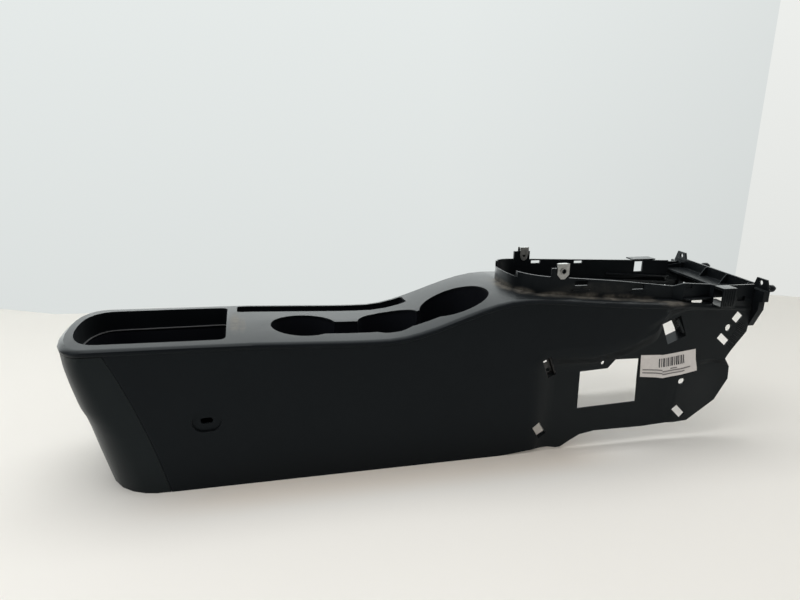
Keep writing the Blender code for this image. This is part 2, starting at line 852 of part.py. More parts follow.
def mid_deck(x, y):
    # Height half way through the deck's wall
    return deck_height(x, y) - WALL / 2


def add_bosses(body, places, foot_at):
    for x, y in places:
        foot = foot_at(x, y)
        add(body, round_solid("boss", (x, y), BOSS_RADIUS, BOSS_RADIUS, foot, mid_deck(x, y), 16))
        hole = SCREW_RADIUS + GAP
        cut(body, round_solid("boss_hole", (x, y), hole, hole, foot - 0.002, foot + SCREW_LENGTH, 12))


def liner_span(floor, grow):
    # Foot and head of a solid that makes a liner's outside, or of the taller one that hollows it
    if grow > CUP_SHADOW:
        return floor - LINER_WALL, HUMP_DECK_Z + 0.040
    return floor, HUMP_DECK_Z + 0.050


def cup_tool(name, x, top_radius, foot_radius, floor, grow):
    # Tapered cup, grown outwards, that runs straight up past the deck
    lowest = min(deck_height(x - top_radius, CUP_LINE_Y), deck_height(x + top_radius, CUP_LINE_Y))
    brim = lowest - WALL - GAP
    foot, head = liner_span(floor, grow)
    foot_radius += grow
    top_radius += grow
    profile = [(0.0, foot), (foot_radius, foot), (top_radius, brim), (top_radius, head), (0.0, head)]
    return turned(name, profile, Matrix.Translation((x, CUP_LINE_Y, 0.0)), 36)


def cup_tools(grow):
    small = (CUP_RADIUS, CUP_FOOT_RADIUS, CUP_FLOOR_Z)
    large = (LARGE_CUP_RADIUS, LARGE_CUP_FOOT_RADIUS, LARGE_CUP_FLOOR_Z)
    cups = ((CUP_FIRST_X, *small), (CUP_SECOND_X, *small), (CUP_THIRD_X, *large))
    return [cup_tool("cup", *cup, grow) for cup in cups]


def throat_tools(grow):
    half = THROAT_HALF_WIDTH + grow
    foot, head = liner_span(THROAT_FLOOR_Z, grow)
    low_y, high_y = THROAT_LINE_Y - half, THROAT_LINE_Y + half
    return [
        block("throat", (CUP_FIRST_X + 0.001, low_y, foot), (CUP_SECOND_X - 0.001, high_y, head + 0.001)),
        block("throat", (CUP_SECOND_X + 0.001, low_y, foot), (CUP_THIRD_X - 0.001, high_y, head + 0.001)),
    ]


def cut_deck_openings(body):
    cut(body, upright("tray_opening", tray_outline(0.0), 0.06, 0.26))
    cut(body, upright("slot_opening", slot_outline(0.0), 0.12, 0.26))
    rims = ((CUP_FIRST_X, CUP_RADIUS), (CUP_SECOND_X, CUP_RADIUS), (CUP_THIRD_X, LARGE_CUP_RADIUS))
    for x, radius in rims:
        cut(body, round_solid("cup_opening", (x, CUP_LINE_Y), radius, radius, 0.12, 0.26, 36))
    cut(body, *throat_tools(0.0))


def cut_aperture(body):
    # Gear aperture inside the ring, which leaves a ledge at the ring's foot
    ledge = RING_LEDGE
    path = []
    for x, y in ring_path(1)[:11]:
        share = min((x - RING_REAR_X) / RING_ROUND, 1.0)
        path.append((x + ledge * (1.0 - share), y * (RING_HALF_WIDTH - ledge) / RING_HALF_WIDTH))
    front = CHEEK_REAR_X - 2 * GAP
    path[-1] = (front, path[-1][1])
    outline = path + [(x, -y) for x, y in reversed(path[1:])]
    cut(body, upright("aperture", outline, 0.15, 0.26))
    inner = wall_half(1.0) - WING_STEP - max(WALL, RING_WALL)
    cut(body, block("front_gap", (front - 0.001, -inner, 0.14), (FRONT_X + 0.01, inner, 0.26)))


def add_ring(body):
    path = list(reversed(ring_path(1))) + ring_path(-1)[1:]

    def foot_at(x, y):
        if abs(y) > RING_JOG_Y + 0.001:
            return crease_height(x) - RING_ROOT
        return deck_height(x, y) - RING_ROOT

    add(body, band("ring_wall", path, RING_WALL, foot_at, lambda x, y: ring_top(x, -1 if y < 0 else 1)))
    flange = wall_half(1.0) - WING_STEP
    foot = crease_height(FRONT_X) - RING_ROOT
    low = (CHEEK_JOG_X, RING_HALF_WIDTH - RING_WALL / 2, foot + RING_ROOT)
    add(body, block("flange_return", low, (CHEEK_JOG_X + RING_WALL, flange - RING_WALL / 2, SOCKET_TOP_Z)))
    add(body, block("far_flange", (CHEEK_JOG_X, flange - RING_WALL, foot), (FRONT_X, flange, SOCKET_TOP_Z)))
    notch = [
        (RING_REAR_X - 0.005, NOTCH_START_Z),
        (NOTCH_X, NOTCH_Z),
        (NOTCH_X, post_top()),
        (RING_REAR_X - 0.005, post_top()),
    ]
    cut(body, sideways("ring_notch", notch, -RING_HALF_WIDTH, NOTCH_END_Y))
    for side, windows in ((-1, NEAR_WINDOWS), (1, FAR_WINDOWS)):
        outer = side * RING_HALF_WIDTH
        inner = side * (RING_HALF_WIDTH - POST_WALL)
        foot = ring_top(POST_X, side) - 0.010
        shoulders = (POST_X, POST_LENGTH / 2, post_top() - POST_SHOULDER_DROP)
        tongue = (POST_X + CLIP_SHIFT, POST_TONGUE_LENGTH / 2, post_top())
        for x, half, top in (shoulders, tongue):
            low = (x - half, min(outer, inner), foot)
            add(body, block("post", low, (x + half, max(outer, inner), top)))
        for x, length, height, drop in windows:
            top = ring_top(x + length / 2, side) - drop
            cut(body, wall_window(x, length, top - height, top, side * RING_HALF_WIDTH))
    top = TALL_SLOT_FOOT_Z + TALL_SLOT_HEIGHT
    cut(body, wall_window(TALL_SLOT_X, TALL_SLOT_LENGTH, TALL_SLOT_FOOT_Z, top, RING_HALF_WIDTH))


def add_ring_details(body):
    # Lip along the near jog with a slit under it, its blind window, and the far wall's lip and shelf
    start, end = RING_JOG_X + RING_JOG_RUN, CHEEK_JOG_X + CHEEK_JOG_RUN
    low = (start, -RING_JOG_Y - JOG_LIP_REACH, JOG_LIP_Z - LIP_WALL)
    add(body, block("jog_lip", low, (end, -RING_JOG_Y + RING_WALL / 2, JOG_LIP_Z)))
    x, length, height, drop = JOG_WINDOW
    top = SOCKET_TOP_Z + RING_STEP_RISE - drop
    low = (x, -RING_JOG_Y - RING_WALL, top - height)
    cut(body, block("jog_window", low, (x + length, -RING_JOG_Y + JOG_WINDOW_DEPTH, top)))
    foot = edge_height(SLIT_X) - WALL - CREASE_DROP
    inside = -RING_JOG_Y + RING_WALL + GAP
    low = (SLIT_X, -RING_JOG_Y - RING_WALL, foot)
    cut(body, block("slit", low, (SLIT_X + SLIT_LENGTH, inside, SLIT_TOP_Z)))
    low = (SLIT_X, inside - 0.001, foot)
    high = (SLIT_X + SLIT_LENGTH + SLIT_SPREAD, -RING_HALF_WIDTH + RING_LEDGE + 0.002, SLIT_TOP_Z)
    cut(body, block("slit_inside", low, high))
    wall = RING_HALF_WIDTH - RING_WALL / 2
    low = (FAR_LIP_X, wall, FAR_LIP_Z - LIP_WALL)
    add(body, block("far_lip", low, (FAR_LIP_X + FAR_LIP_LENGTH, RING_HALF_WIDTH + FAR_LIP_REACH, FAR_LIP_Z)))
    end = CHEEK_REAR_X - GAP
    shelf = [
        (SHELF_START_X, SHELF_START_Z),
        (end, SHELF_END_Z),
        (end, SHELF_END_Z - LIP_WALL),
        (SHELF_START_X, SHELF_START_Z - LIP_WALL),
    ]
    add(body, sideways("wall_shelf", shelf, RING_HALF_WIDTH - WALL_SHELF_REACH, wall))


def wall_window(x, length, foot, top, y):
    reach = 2 * RING_WALL
    return block("window", (x, y - reach, foot), (x + length, y + reach, top))


def wing_face():
    return wall_half(0.5) - WING_STEP


def add_sleeves(body):
    # Holes for the trim's clips, each with a sleeve behind it
    face = wing_face()
    sleeves = ((CLIP_HOLE, SLEEVE_DEPTH), (PLUG_HOLE, PLUG_SLEEVE_DEPTH), (POCKET_HOLE, POCKET_DEPTH))
    for side in (-1, 1):
        for (centre, length, height, lean), depth in sleeves:
            grown = rectangle(length + 2 * SLEEVE_WALL, height + 2 * SLEEVE_WALL, centre, lean)
            end = face - WALL - depth
            add(body, sideways("sleeve", grown, side * (face - WALL / 2), side * end))
            hole = rectangle(length, height, centre, lean)
            cut(body, sideways("sleeve_hole", hole, side * (face + 0.010), side * (end - 0.002)))


def wing_openings():
    openings = [SIDE_WINDOW]
    for centre, length, height, lean in (FLAP_HOLE, UPPER_CORNER_HOLE, LOWER_CORNER_HOLE, EDGE_HOLE):
        openings.append(rectangle(length, height, centre, lean))
    for centre, radius in (WINDOW_PIN_HOLE, CORNER_PIN_HOLE):
        openings.append(circle(radius, 10, centre))
    centre, length, height = OVAL_HOLE
    openings.append(oval(length, height, centre, 12))
    return openings


def trim_wing(body, side):
    # Outline of the wing's lower and front edge, and the openings through it
    flap = NEAR_FLAP_EDGE if side < 0 else FAR_FLAP_EDGE
    line = list(WING_EDGE + flap + WING_FRONT_EDGE)
    past_front = FRONT_X + 0.010
    below = -0.020
    start = line[0][0] - 0.008
    outline = [(start, below), (start, -0.0001)] + line
    outline += [(past_front, line[-1][1] + 0.003), (past_front, below)]
    face = wing_face()
    cut(body, sideways("wing_trim", outline, side * face / 2, side * face * 1.5))
    for opening in wing_openings():
        cut(body, sideways("wing_hole", opening, side * (face - 0.020), side * (face + 0.010)))


def add_screw_seats(body):
    face = wall_half(0.5)
    floor = face - SEAT_DEPTH
    for side in (-1, 1):
        pad = oval(SEAT_LENGTH + 2 * WALL, SEAT_HEIGHT + 2 * WALL, (SEAT_X, SEAT_Z), 20)
        add(body, sideways("seat_pad", pad, side * (face - WALL / 2), side * (floor - WALL)))
        dish = oval(SEAT_LENGTH, SEAT_HEIGHT, (SEAT_X, SEAT_Z), 20)
        cut(body, sideways("seat_dish", dish, side * (face + 0.01), side * floor))
        slot = oval(SEAT_SLOT_LENGTH, SEAT_SLOT_HEIGHT, (SEAT_X, SEAT_Z), 12)
        cut(body, sideways("seat_slot", slot, side * (face + 0.01), side * (floor - WALL - 0.002)))


def add_sockets(body):
    # Hooded sockets outside the front corners, open at the rear and into the console
    flange = wall_half(1.0) - WING_STEP
    for side in (-1, 1):
        x = SOCKET_X + (FAR_SOCKET_SHIFT if side > 0 else 0.0)
        start = side * (flange - RING_WALL / 2)
        end = side * (flange + SOCKET_REACH)
        low = (x, min(start, end), SOCKET_FOOT_Z)
        high = (x + SOCKET_LENGTH, max(start, end), SOCKET_TOP_Z)
        add(body, block("socket", low, high))
        start = side * (flange - RING_WALL - 0.002)
        end = side * (flange + SOCKET_REACH - SOCKET_WALL)
        low = (x - 0.005, min(start, end), SOCKET_FOOT_Z + SOCKET_WALL)
        high = (high[0] - SOCKET_WALL, max(start, end), SOCKET_TOP_Z - SOCKET_WALL)
        cut(body, block("socket_bore", low, high))


def make_body(material):
    body = skin_solid("console_body", 0.0, FRONT_X)
    cut(body, skin_solid("hollow", WALL, FRONT_X + 0.02, foot=-0.02))
    cut(body, tail_wedge("panel_space", 0.0, -SEAM_GAP))
    add(body, upright("tray_skirt", tray_outline(LINER_WALL), tray_boss_foot, mid_deck))
    add_bosses(body, TRAY_BOSSES, tray_boss_foot)
    add_bosses(body, CUP_BOSSES + SLOT_BOSSES, deck_boss_foot)
    cut_deck_openings(body)
    add_ring(body)
    cut_aperture(body)
    add_ring_details(body)
    add_sockets(body)
    add_sleeves(body)
    add_screw_seats(body)
    for side in (-1, 1):
        trim_wing(body, side)
    return finish(body, "console_body", material)


def finish(item, name, material):
    # Clean closed mesh with the sub-part's own name and material
    mesh = bmesh.new()
    mesh.from_mesh(item.data)
    bmesh.ops.remove_doubles(mesh, verts=mesh.verts, dist=0.00001)
    bmesh.ops.dissolve_degenerate(mesh, dist=0.00001, edges=mesh.edges)
    bmesh.ops.dissolve_limit(mesh, angle_limit=math.radians(0.2), verts=mesh.verts, edges=mesh.edges)
    bmesh.ops.triangulate(mesh, faces=mesh.faces)
    mesh.to_mesh(item.data)
    mesh.free()
    item.name = name
    item.data.name = name
    item.data.materials.clear()
    item.data.materials.append(material)
    item.data.shade_smooth()
    item.data.set_sharp_from_angle(angle=math.radians(30))
    return item


def make_rear_panel(material):
    length = SEAM_FOOT_X + 2 * TONGUE_REACH
    panel = skin_solid("rear_panel", 0.0, length + 0.010, length=length)
    cut(panel, skin_solid("panel_hollow", PANEL_WALL, length + 0.030, foot=-0.02, length=length))
    keep(panel, tail_wedge("panel_edge", TONGUE_REACH, TONGUE_RISE))
    step = skin_solid("step_outer", -0.002, length + 0.030, foot=-0.02, length=length)
    cut(step, skin_solid("step_inner", WALL + GAP, length + 0.050, foot=-0.03, length=length))
    cut(step, tail_wedge("step_edge", -SEAM_GAP, -2 * SEAM_GAP))
    cut(panel, step)
    return finish(panel, "rear_panel", material)


def ear(name, place, foot_at, towards):
    # Lug under a boss, with a tail that reaches back into the liner's wall
    x, y = place
    top = foot_at(x, y) - GAP
    angle = math.atan2(towards[1], towards[0])
    reach = BOSS_OFFSET
    points = []
    for step in range(9):
        turn = angle + math.pi / 2 + math.pi * step / 8
        points.append((x + EAR_RADIUS * math.cos(turn), y + EAR_RADIUS * math.sin(turn)))
    for across in (-1, 1):
        side = angle + across * math.pi / 2
        points.append(
            (
                x + reach * math.cos(angle) + EAR_RADIUS * math.cos(side),
                y + reach * math.sin(angle) + EAR_RADIUS * math.sin(side),
            )
        )
    return upright(name, points, top - EAR_WALL, top)


def drill_ears(liner, places, foot_at):
    radius = SCREW_RADIUS + GAP
    for x, y in places:
        foot = foot_at(x, y)
        cut(liner, round_solid("ear_hole", (x, y), radius, radius, foot - 2 * EAR_WALL, foot + 0.002, 12))


def make_tray_bin(material):
    inner_top = tray_outline(-TRAY_LEDGE)
    inner_foot = tray_outline(-TRAY_LEDGE - TRAY_DRAFT, TRAY_BACK_SLOPE)
    outer_top = tray_outline(LINER_WALL - TRAY_LEDGE)
    outer_foot = tray_outline(LINER_WALL - TRAY_LEDGE - TRAY_DRAFT, TRAY_BACK_SLOPE)
    floor = TRAY_DECK_Z - TRAY_DEPTH

    def flange_top(x, y):
        return tray_boss_foot(x, y) - GAP

    def flange_middle(x, y):
        return flange_top(x, y) - LINER_WALL / 2

    def flange_foot(x, y):
        return flange_top(x, y) - LINER_WALL

    tray = upright("tray_bin", tray_outline(LINER_WALL + TRAY_FLANGE), flange_foot, flange_top)
    add(tray, tapered("bin_outer", outer_foot, outer_top, floor - LINER_WALL, flange_middle))
    for place in TRAY_BOSSES:
        towards = (-1, 0) if place[0] > TRAY_FRONT_X else (0, -place[1])
        add(tray, ear("bin_ear", place, tray_boss_foot, towards))
    cut(tray, tapered("bin_inner", inner_foot, inner_top, floor, lambda x, y: flange_top(x, y) + 0.002))
    drill_ears(tray, TRAY_BOSSES, tray_boss_foot)
    return finish(tray, "tray_bin", material)


def tapered(name, lower_outline, upper_outline, foot, top_at):
    # Solid between two like outlines, one above the other
    mesh = bmesh.new()
    lower = [mesh.verts.new((x, y, foot)) for x, y in lower_outline]
    upper = [mesh.verts.new((x, y, top_at(x, y))) for x, y in upper_outline]
    return finish_prism(name, mesh, lower, upper)


def make_cup_insert(material):
    insert, *others = cup_tools(LINER_WALL + CUP_SHADOW)
    add(insert, *others)
    add(insert, *throat_tools(LINER_WALL + CUP_SHADOW))
    for place in CUP_BOSSES:
        add(insert, ear("cup_ear", place, deck_boss_foot, (0, CUP_LINE_Y - place[1])))
    keep(insert, skin_solid("under_skin", WALL + GAP, FRONT_X, foot=-0.02))
    bore, *others = cup_tools(CUP_SHADOW)
    add(bore, *others)
    add(bore, *throat_tools(CUP_SHADOW))
    cut(insert, bore)
    drill_ears(insert, CUP_BOSSES, deck_boss_foot)
    return finish(insert, "cup_insert", material)


def make_slot_pocket(material):
    pocket = upright("slot_pocket", slot_outline(CUP_SHADOW + LINER_WALL), SLOT_FLOOR_Z - LINER_WALL, 0.26)
    for place in SLOT_BOSSES:
        add(pocket, ear("slot_ear", place, deck_boss_foot, (0, 1)))
    cut(pocket, upright("slot_bore", slot_outline(CUP_SHADOW), SLOT_FLOOR_Z, 0.27))
    keep(pocket, skin_solid("under_skin", WALL + GAP, FRONT_X, foot=-0.02))
    drill_ears(pocket, SLOT_BOSSES, deck_boss_foot)
    return finish(pocket, "slot_pocket", material)


def make_carrier(material):
    # Front frame: a beam with ribs and a shelf, legs in front of the side walls and cheeks inside them
    top = BEAM_TOP_Z
    foot = top - LEG_FOOT_DROP
    leg = [
        (LEG_OUTER_Y, top - LEG_STEP),
        (LEG_OUTER_Y, top - LEG_SHOULDER_DROP),
        (LEG_OUTER_Y - LEG_STEP, top - LEG_SHOULDER_DROP - BEAM_WALL / 2),
        (LEG_OUTER_Y - LEG_STEP, top - LEG_WAIST_DROP),
        (LEG_INNER_Y + LEG_FOOT_WIDTH, foot),
        (LEG_INNER_Y, foot),
    ]
    half = [
        (0.0, top),
        (TAB_Y - TAB_WIDTH / 2, top),
        (TAB_Y - TAB_WIDTH / 2 + BEAM_WALL, top + TAB_RISE),
        (TAB_Y + TAB_WIDTH / 2 - BEAM_WALL / 2, top + TAB_RISE),
    ]
    half += leg + [(LEG_INNER_Y, top - BEAM_HEIGHT)]
    outline = half + [(-y, z) for y, z in reversed(half[1:])]
    carrier = lengthways("front_carrier", outline, BEAM_X, BEAM_X + BEAM_WALL)
    back = BEAM_X + BEAM_WALL / 2
    for y in (-1.5 * RIB_PITCH, -0.5 * RIB_PITCH, 0.5 * RIB_PITCH):
        rib = [
            (back, top - RIB_WALL / 2),
            (BEAM_X - BEAM_WALL, top - RIB_WALL / 2),
            (BEAM_X - RIB_REACH, top - 2 * SHELF_DROP),
            (BEAM_X - RIB_REACH, top - BEAM_HEIGHT + RIB_WALL),
            (back, top - BEAM_HEIGHT + RIB_WALL),
        ]
        add(carrier, sideways("beam_rib", rib, y - RIB_WALL / 2, y + RIB_WALL / 2))
    cheek_face = wall_half(1.0) - WING_STEP - max(WALL, RING_WALL) - GAP
    shelf_z = top - SHELF_DROP
    low = (BEAM_X - SHELF_REACH, -1.5 * RIB_PITCH, shelf_z - BEAM_WALL)
    add(carrier, block("beam_shelf", low, (back, cheek_face - CHEEK_WALL / 2, shelf_z)))
    for side in (-1, 1):
        root = [(side * y, z) for y, z in leg + [(LEG_INNER_Y, top - LEG_STEP)]]
        add(carrier, lengthways("leg_root", root, FRONT_X + GAP, back))
        cheek = [
            (back, top - CHEEK_FOOT_DROP),
            (back, top - LEG_STEP),
            (CHEEK_REAR_X, top - 2 * LEG_STEP),
            (CHEEK_REAR_X, top - CHEEK_FOOT_DROP + LEG_STEP),
            (BEAM_X - CHEEK_LENGTH / 2, top - CHEEK_FOOT_DROP),
        ]
        add(carrier, sideways("cheek", cheek, side * cheek_face, side * (cheek_face - CHEEK_WALL)))
        centre = (BEAM_X, side * TAB_Y, top + TAB_HOLE_RADIUS)
        cut(carrier, pin_along("tab_hole", "X", centre, TAB_HOLE_RADIUS, 0.020, 16))
        profile = [
            (0.0, 0.0),
            (PIN_RADIUS * 1.4, 0.0),
            (PIN_RADIUS, PIN_LENGTH * 0.20),
            (PIN_RADIUS, PIN_LENGTH * 0.62),
            (PIN_HEAD_RADIUS, PIN_LENGTH * 0.72),
            (PIN_HEAD_RADIUS, PIN_LENGTH * 0.90),
            (PIN_RADIUS * 0.5, PIN_LENGTH + BEAM_WALL / 2),
            (0.0, PIN_LENGTH + BEAM_WALL / 2),
        ]
        place = Matrix.Translation((back, side * PIN_Y, top - PIN_DROP))
        place = place @ Matrix.Rotation(math.radians(90), 4, "Y")
        add(carrier, turned("locating_pin", profile, place, 12))
    # The whole frame leans, higher on its far side
    for vertex in carrier.data.vertices:
        vertex.co.z += BEAM_LEAN * vertex.co.y
    return finish(carrier, "front_carrier", material)


def make_ring_clip(name, side, material):
    # Spring nut folded over a post of the ring, with a threaded collar on its outer leaf
    outer = RING_HALF_WIDTH + GAP + CLIP_SHEET
    inner = RING_HALF_WIDTH - POST_WALL - GAP - CLIP_SHEET
    top = post_top() + GAP + CLIP_SHEET
    x = POST_X + CLIP_SHIFT
    half = CLIP_LENGTH / 2
    leaf = [
        (x - half, top),
        (x - half, top - CLIP_HEIGHT * 0.70),
        (x - half * 0.35, top - CLIP_HEIGHT),
        (x + half * 0.35, top - CLIP_HEIGHT),
        (x + half, top - CLIP_HEIGHT * 0.70),
        (x + half, top),
    ]
    clip = sideways(name, leaf, side * outer, side * (outer - CLIP_SHEET))
    near, away = sorted((side * inner, side * (outer - CLIP_SHEET / 2)))
    low = (x - half * 0.8, near, top - CLIP_SHEET)
    add(clip, block("clip_bend", low, (x + half * 0.8, away, top - 0.0001)))
    near, away = sorted((side * inner, side * (inner + CLIP_SHEET)))
    low = (x - half * 0.8, near, top - CLIP_HEIGHT * 0.55)
    add(clip, block("clip_back", low, (x + half * 0.8, away, top - CLIP_SHEET / 2)))
    centre = (x, side * (outer + 0.0006), top - CLIP_HEIGHT * 0.48)
    add(clip, pin_along("collar", "Y", centre, CLIP_HOLE_RADIUS + CLIP_SHEET, 0.0024, 16))
    cut(clip, pin_along("collar_bore", "Y", centre, CLIP_HOLE_RADIUS, 0.0080, 16))
    return finish(clip, name, material)


def make_side_clip(name, side, material):
    # Folded spring that sits inside the sleeve of the wing's upper clip hole
    centre, length, height, lean = CLIP_HOLE
    face = wing_face()
    length -= 2 * GAP
    height -= 2 * GAP
    start = side * (face - WALL - SLEEVE_DEPTH)
    clip = sideways(name, rectangle(length, height, centre, lean), start, side * (face - 0.0030))
    inner = rectangle(length - 2 * CLIP_SHEET, height + 0.002, centre, lean)
    floor = face - WALL - SLEEVE_DEPTH + CLIP_SHEET
    cut(clip, sideways("clip_channel", inner, side * floor, side * (face + 0.001)))
    turn = math.radians(lean)
    for share in (-0.28, 0.28):
        middle = (centre[0] - share * height * math.sin(turn), centre[1] + share * height * math.cos(turn))
        slot = rectangle(length * 0.4, height * 0.22, middle, lean)
        through = 2 * CLIP_SHEET
        cut(clip, sideways("clip_slot", slot, side * (floor - through), side * (floor + through)))
    return finish(clip, name, material)


def make_screw(name, place, foot_at, material):
    x, y = place
    seat = foot_at(x, y) - GAP - EAR_WALL - GAP
    profile = [
        (0.0, -SCREW_HEAD_HEIGHT),
        (SCREW_HEAD_RADIUS * 0.7, -SCREW_HEAD_HEIGHT),
        (SCREW_HEAD_RADIUS, -SCREW_HEAD_HEIGHT * 0.6),
        (SCREW_HEAD_RADIUS, 0.0),
        (SCREW_RADIUS, 0.0),
        (SCREW_RADIUS, SCREW_LENGTH - 0.0015),
        (SCREW_RADIUS * 0.4, SCREW_LENGTH),
        (0.0, SCREW_LENGTH),
    ]
    return finish(turned(name, profile, Matrix.Translation((x, y, seat)), 12), name, material)


def main():
    clear_scene()
    grained = make_material("grained_black", (0.022, 0.024, 0.026), 0.55)
    panel_black = make_material("panel_black", (0.020, 0.022, 0.024), 0.60)
    bin_black = make_material("bin_black", (0.012, 0.013, 0.014), 0.65)
    insert_black = make_material("insert_black", (0.009, 0.010, 0.011), 0.60)
    pocket_black = make_material("pocket_black", (0.010, 0.011, 0.012), 0.62)
    carrier_black = make_material("carrier_black", (0.018, 0.019, 0.020), 0.50)
    spring_steel = make_material("spring_steel", (0.42, 0.42, 0.40), 0.35, 1.0)
    screw_steel = make_material("screw_steel", (0.30, 0.30, 0.31), 0.40, 1.0)

    pieces = [
        make_body(grained),
        make_rear_panel(panel_black),
        make_tray_bin(bin_black),
        make_cup_insert(insert_black),
        make_slot_pocket(pocket_black),
        make_carrier(carrier_black),
    ]
    for word, side in (("near", -1), ("far", 1)):
        pieces.append(make_ring_clip("ring_clip_" + word, side, spring_steel))
        pieces.append(make_side_clip("side_clip_" + word, side, spring_steel))
    screw_sets = (
        ("tray", TRAY_BOSSES, tray_boss_foot),
        ("cup", CUP_BOSSES, deck_boss_foot),
        ("slot", SLOT_BOSSES, deck_boss_foot),
    )
    for word, places, foot_at in screw_sets:
        for number, place in enumerate(places, 1):
            pieces.append(make_screw(f"{word}_screw_{number}", place, foot_at, screw_steel))

    assembly = bpy.data.objects.new("assembly", None)
    bpy.context.scene.collection.objects.link(assembly)
    assembly.location = (-MIDDLE_X, 0.0, 0.0)
    for piece in pieces:
        piece.parent = assembly


main()
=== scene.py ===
import math
import bmesh
import bpy
from mathutils import Matrix, Vector
from mathutils.bvhtree import BVHTree


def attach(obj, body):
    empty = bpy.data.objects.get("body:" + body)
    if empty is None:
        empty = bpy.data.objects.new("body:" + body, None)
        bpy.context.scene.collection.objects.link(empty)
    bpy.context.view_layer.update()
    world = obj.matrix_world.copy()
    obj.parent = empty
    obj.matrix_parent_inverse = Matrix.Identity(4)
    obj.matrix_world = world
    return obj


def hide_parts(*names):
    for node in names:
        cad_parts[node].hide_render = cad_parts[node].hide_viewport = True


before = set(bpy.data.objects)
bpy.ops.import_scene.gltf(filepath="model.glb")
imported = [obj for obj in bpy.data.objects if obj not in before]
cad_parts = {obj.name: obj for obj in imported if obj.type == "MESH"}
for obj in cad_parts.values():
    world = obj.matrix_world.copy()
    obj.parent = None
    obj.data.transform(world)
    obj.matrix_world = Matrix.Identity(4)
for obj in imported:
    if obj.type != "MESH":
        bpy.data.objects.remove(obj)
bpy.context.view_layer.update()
# a fresh file brings a cube, a lamp and a camera of its own
for leftOver in ("Cube", "Light", "Camera"):
    if leftOver in bpy.data.objects:
        bpy.data.objects.remove(bpy.data.objects[leftOver])
print("packed console loaded")

# stations along the console are counted from a datum just behind its tail
datum = Vector((-0.4827, 0.0, 0.0))


def at(x, y, z):
    return datum + Vector((x, y, z))


# the photograph's camera: where it stands, its turns in degrees, and its lens and sensor in millimetres
view = {
    "place": (-0.25550, -0.76308, 0.40670),
    "turn": (74.79848, -1.18272, -13.89338),
    "lens": 28.08,
    "sensor": 36.0,
    "nearest": 0.01,
}


def setCamera():
    lens = bpy.data.cameras.new("photoView")
    lens.lens = view["lens"]
    lens.sensor_width = view["sensor"]
    lens.clip_start = view["nearest"]
    camera = bpy.data.objects.new("photoView", lens)
    bpy.context.scene.collection.objects.link(camera)
    camera.location = view["place"]
    camera.rotation_euler = [math.radians(angle) for angle in view["turn"]]
    bpy.context.scene.camera = camera


def meshObject(name, shape, finish):
    mesh = bpy.data.meshes.new(name)
    shape.to_mesh(mesh)
    shape.free()
    mesh.materials.append(finish)
    piece = bpy.data.objects.new(name, mesh)
    bpy.context.scene.collection.objects.link(piece)
    return piece


def newMaterial(name):
    material = bpy.data.materials.new(name)
    material.use_nodes = True
    return material, material.node_tree.nodes, material.node_tree.links


def opaque(colour):
    return (*colour, 1)


# a socket takes either a link or a plain value
def feed(links, source, socket):
    if isinstance(source, bpy.types.NodeSocket):
        links.new(source, socket)
    else:
        socket.default_value = source


def objectPlace(nodes):
    return nodes.new("ShaderNodeTexCoord").outputs["Object"]


def splitPlace(nodes, links, place):
    split = nodes.new("ShaderNodeSeparateXYZ")
    links.new(place, split.inputs["Vector"])
    return split.outputs


def combine(nodes, links, operation, *sources):
    joined = nodes.new("ShaderNodeMath")
    joined.operation = operation
    for source, socket in zip(sources, joined.inputs):
        feed(links, source, socket)
    return joined.outputs["Value"]


def combinePlaces(nodes, links, operation, *sources):
    joined = nodes.new("ShaderNodeVectorMath")
    joined.operation = operation
    for source, socket in zip(sources, joined.inputs):
        feed(links, source, socket)
    return joined.outputs["Value" if operation == "LENGTH" else "Vector"]


def spread(nodes, links, source, span=(0.0, 1.0), shares=(0.0, 1.0), kind="LINEAR"):
    spreading = nodes.new("ShaderNodeMapRange")
    spreading.interpolation_type = kind
    spreading.inputs["From Min"].default_value, spreading.inputs["From Max"].default_value = span
    spreading.inputs["To Min"].default_value, spreading.inputs["To Max"].default_value = shares
    links.new(source, spreading.inputs["Value"])
    return spreading.outputs["Result"]


def blendColour(nodes, links, share, first, second, kind="MIX"):
    blend = nodes.new("ShaderNodeMix")
    blend.data_type = "RGBA"
    blend.blend_type = kind
    for source, name in ((share, "Factor"), (first, "A"), (second, "B")):
        feed(links, source, blend.inputs[name])
    return blend.outputs["Result"]


def blendShader(nodes, links, share, first, second):
    blend = nodes.new("ShaderNodeMixShader")
    for source, socket in zip((share, first, second), blend.inputs):
        links.new(source, socket)
    return blend.outputs["Shader"]


def emission(nodes, links, colour, strength):
    glow = nodes.new("ShaderNodeEmission")
    feed(links, colour, glow.inputs["Color"])
    feed(links, strength, glow.inputs["Strength"])
    return glow.outputs["Emission"]


def emboss(nodes, links, height, strength, depth, pressed=False):
    bump = nodes.new("ShaderNodeBump")
    bump.invert = pressed
    bump.inputs["Strength"].default_value = strength
    bump.inputs["Distance"].default_value = depth
    links.new(height, bump.inputs["Height"])
    return bump


# soft clouds between two colours, and their share of the second one
def mottle(nodes, links, place, look):
    clouds = nodes.new("ShaderNodeTexNoise")
    clouds.inputs["Scale"].default_value = look["mottleScale"]
    clouds.inputs["Detail"].default_value = look["mottleDetail"]
    links.new(place, clouds.inputs["Vector"])
    share = clouds.outputs["Fac"]
    return share, blendColour(nodes, links, share, opaque(look["colour"]), opaque(look["mottled"]))


floorLook = {
    "colour": (0.86, 0.85, 0.815),
    "mottled": (0.8299, 0.8202, 0.7865),
    "mottleScale": 3.0,
    "mottleDetail": 3.0,
    "roughness": 0.75,
    "specular": 0.2,
    "reach": 4.0,
    # a painted warm shadow along the console's foot: on each axis, from where it fades in to where it is
    # full
    "shadowTint": (1.0, 0.945, 0.895),
    "shadowSpans": [("Y", (-0.155, -0.105)), ("Y", (0.10, 0.0)), ("X", (-0.42, -0.25)), ("X", (0.24, 0.12))],
}


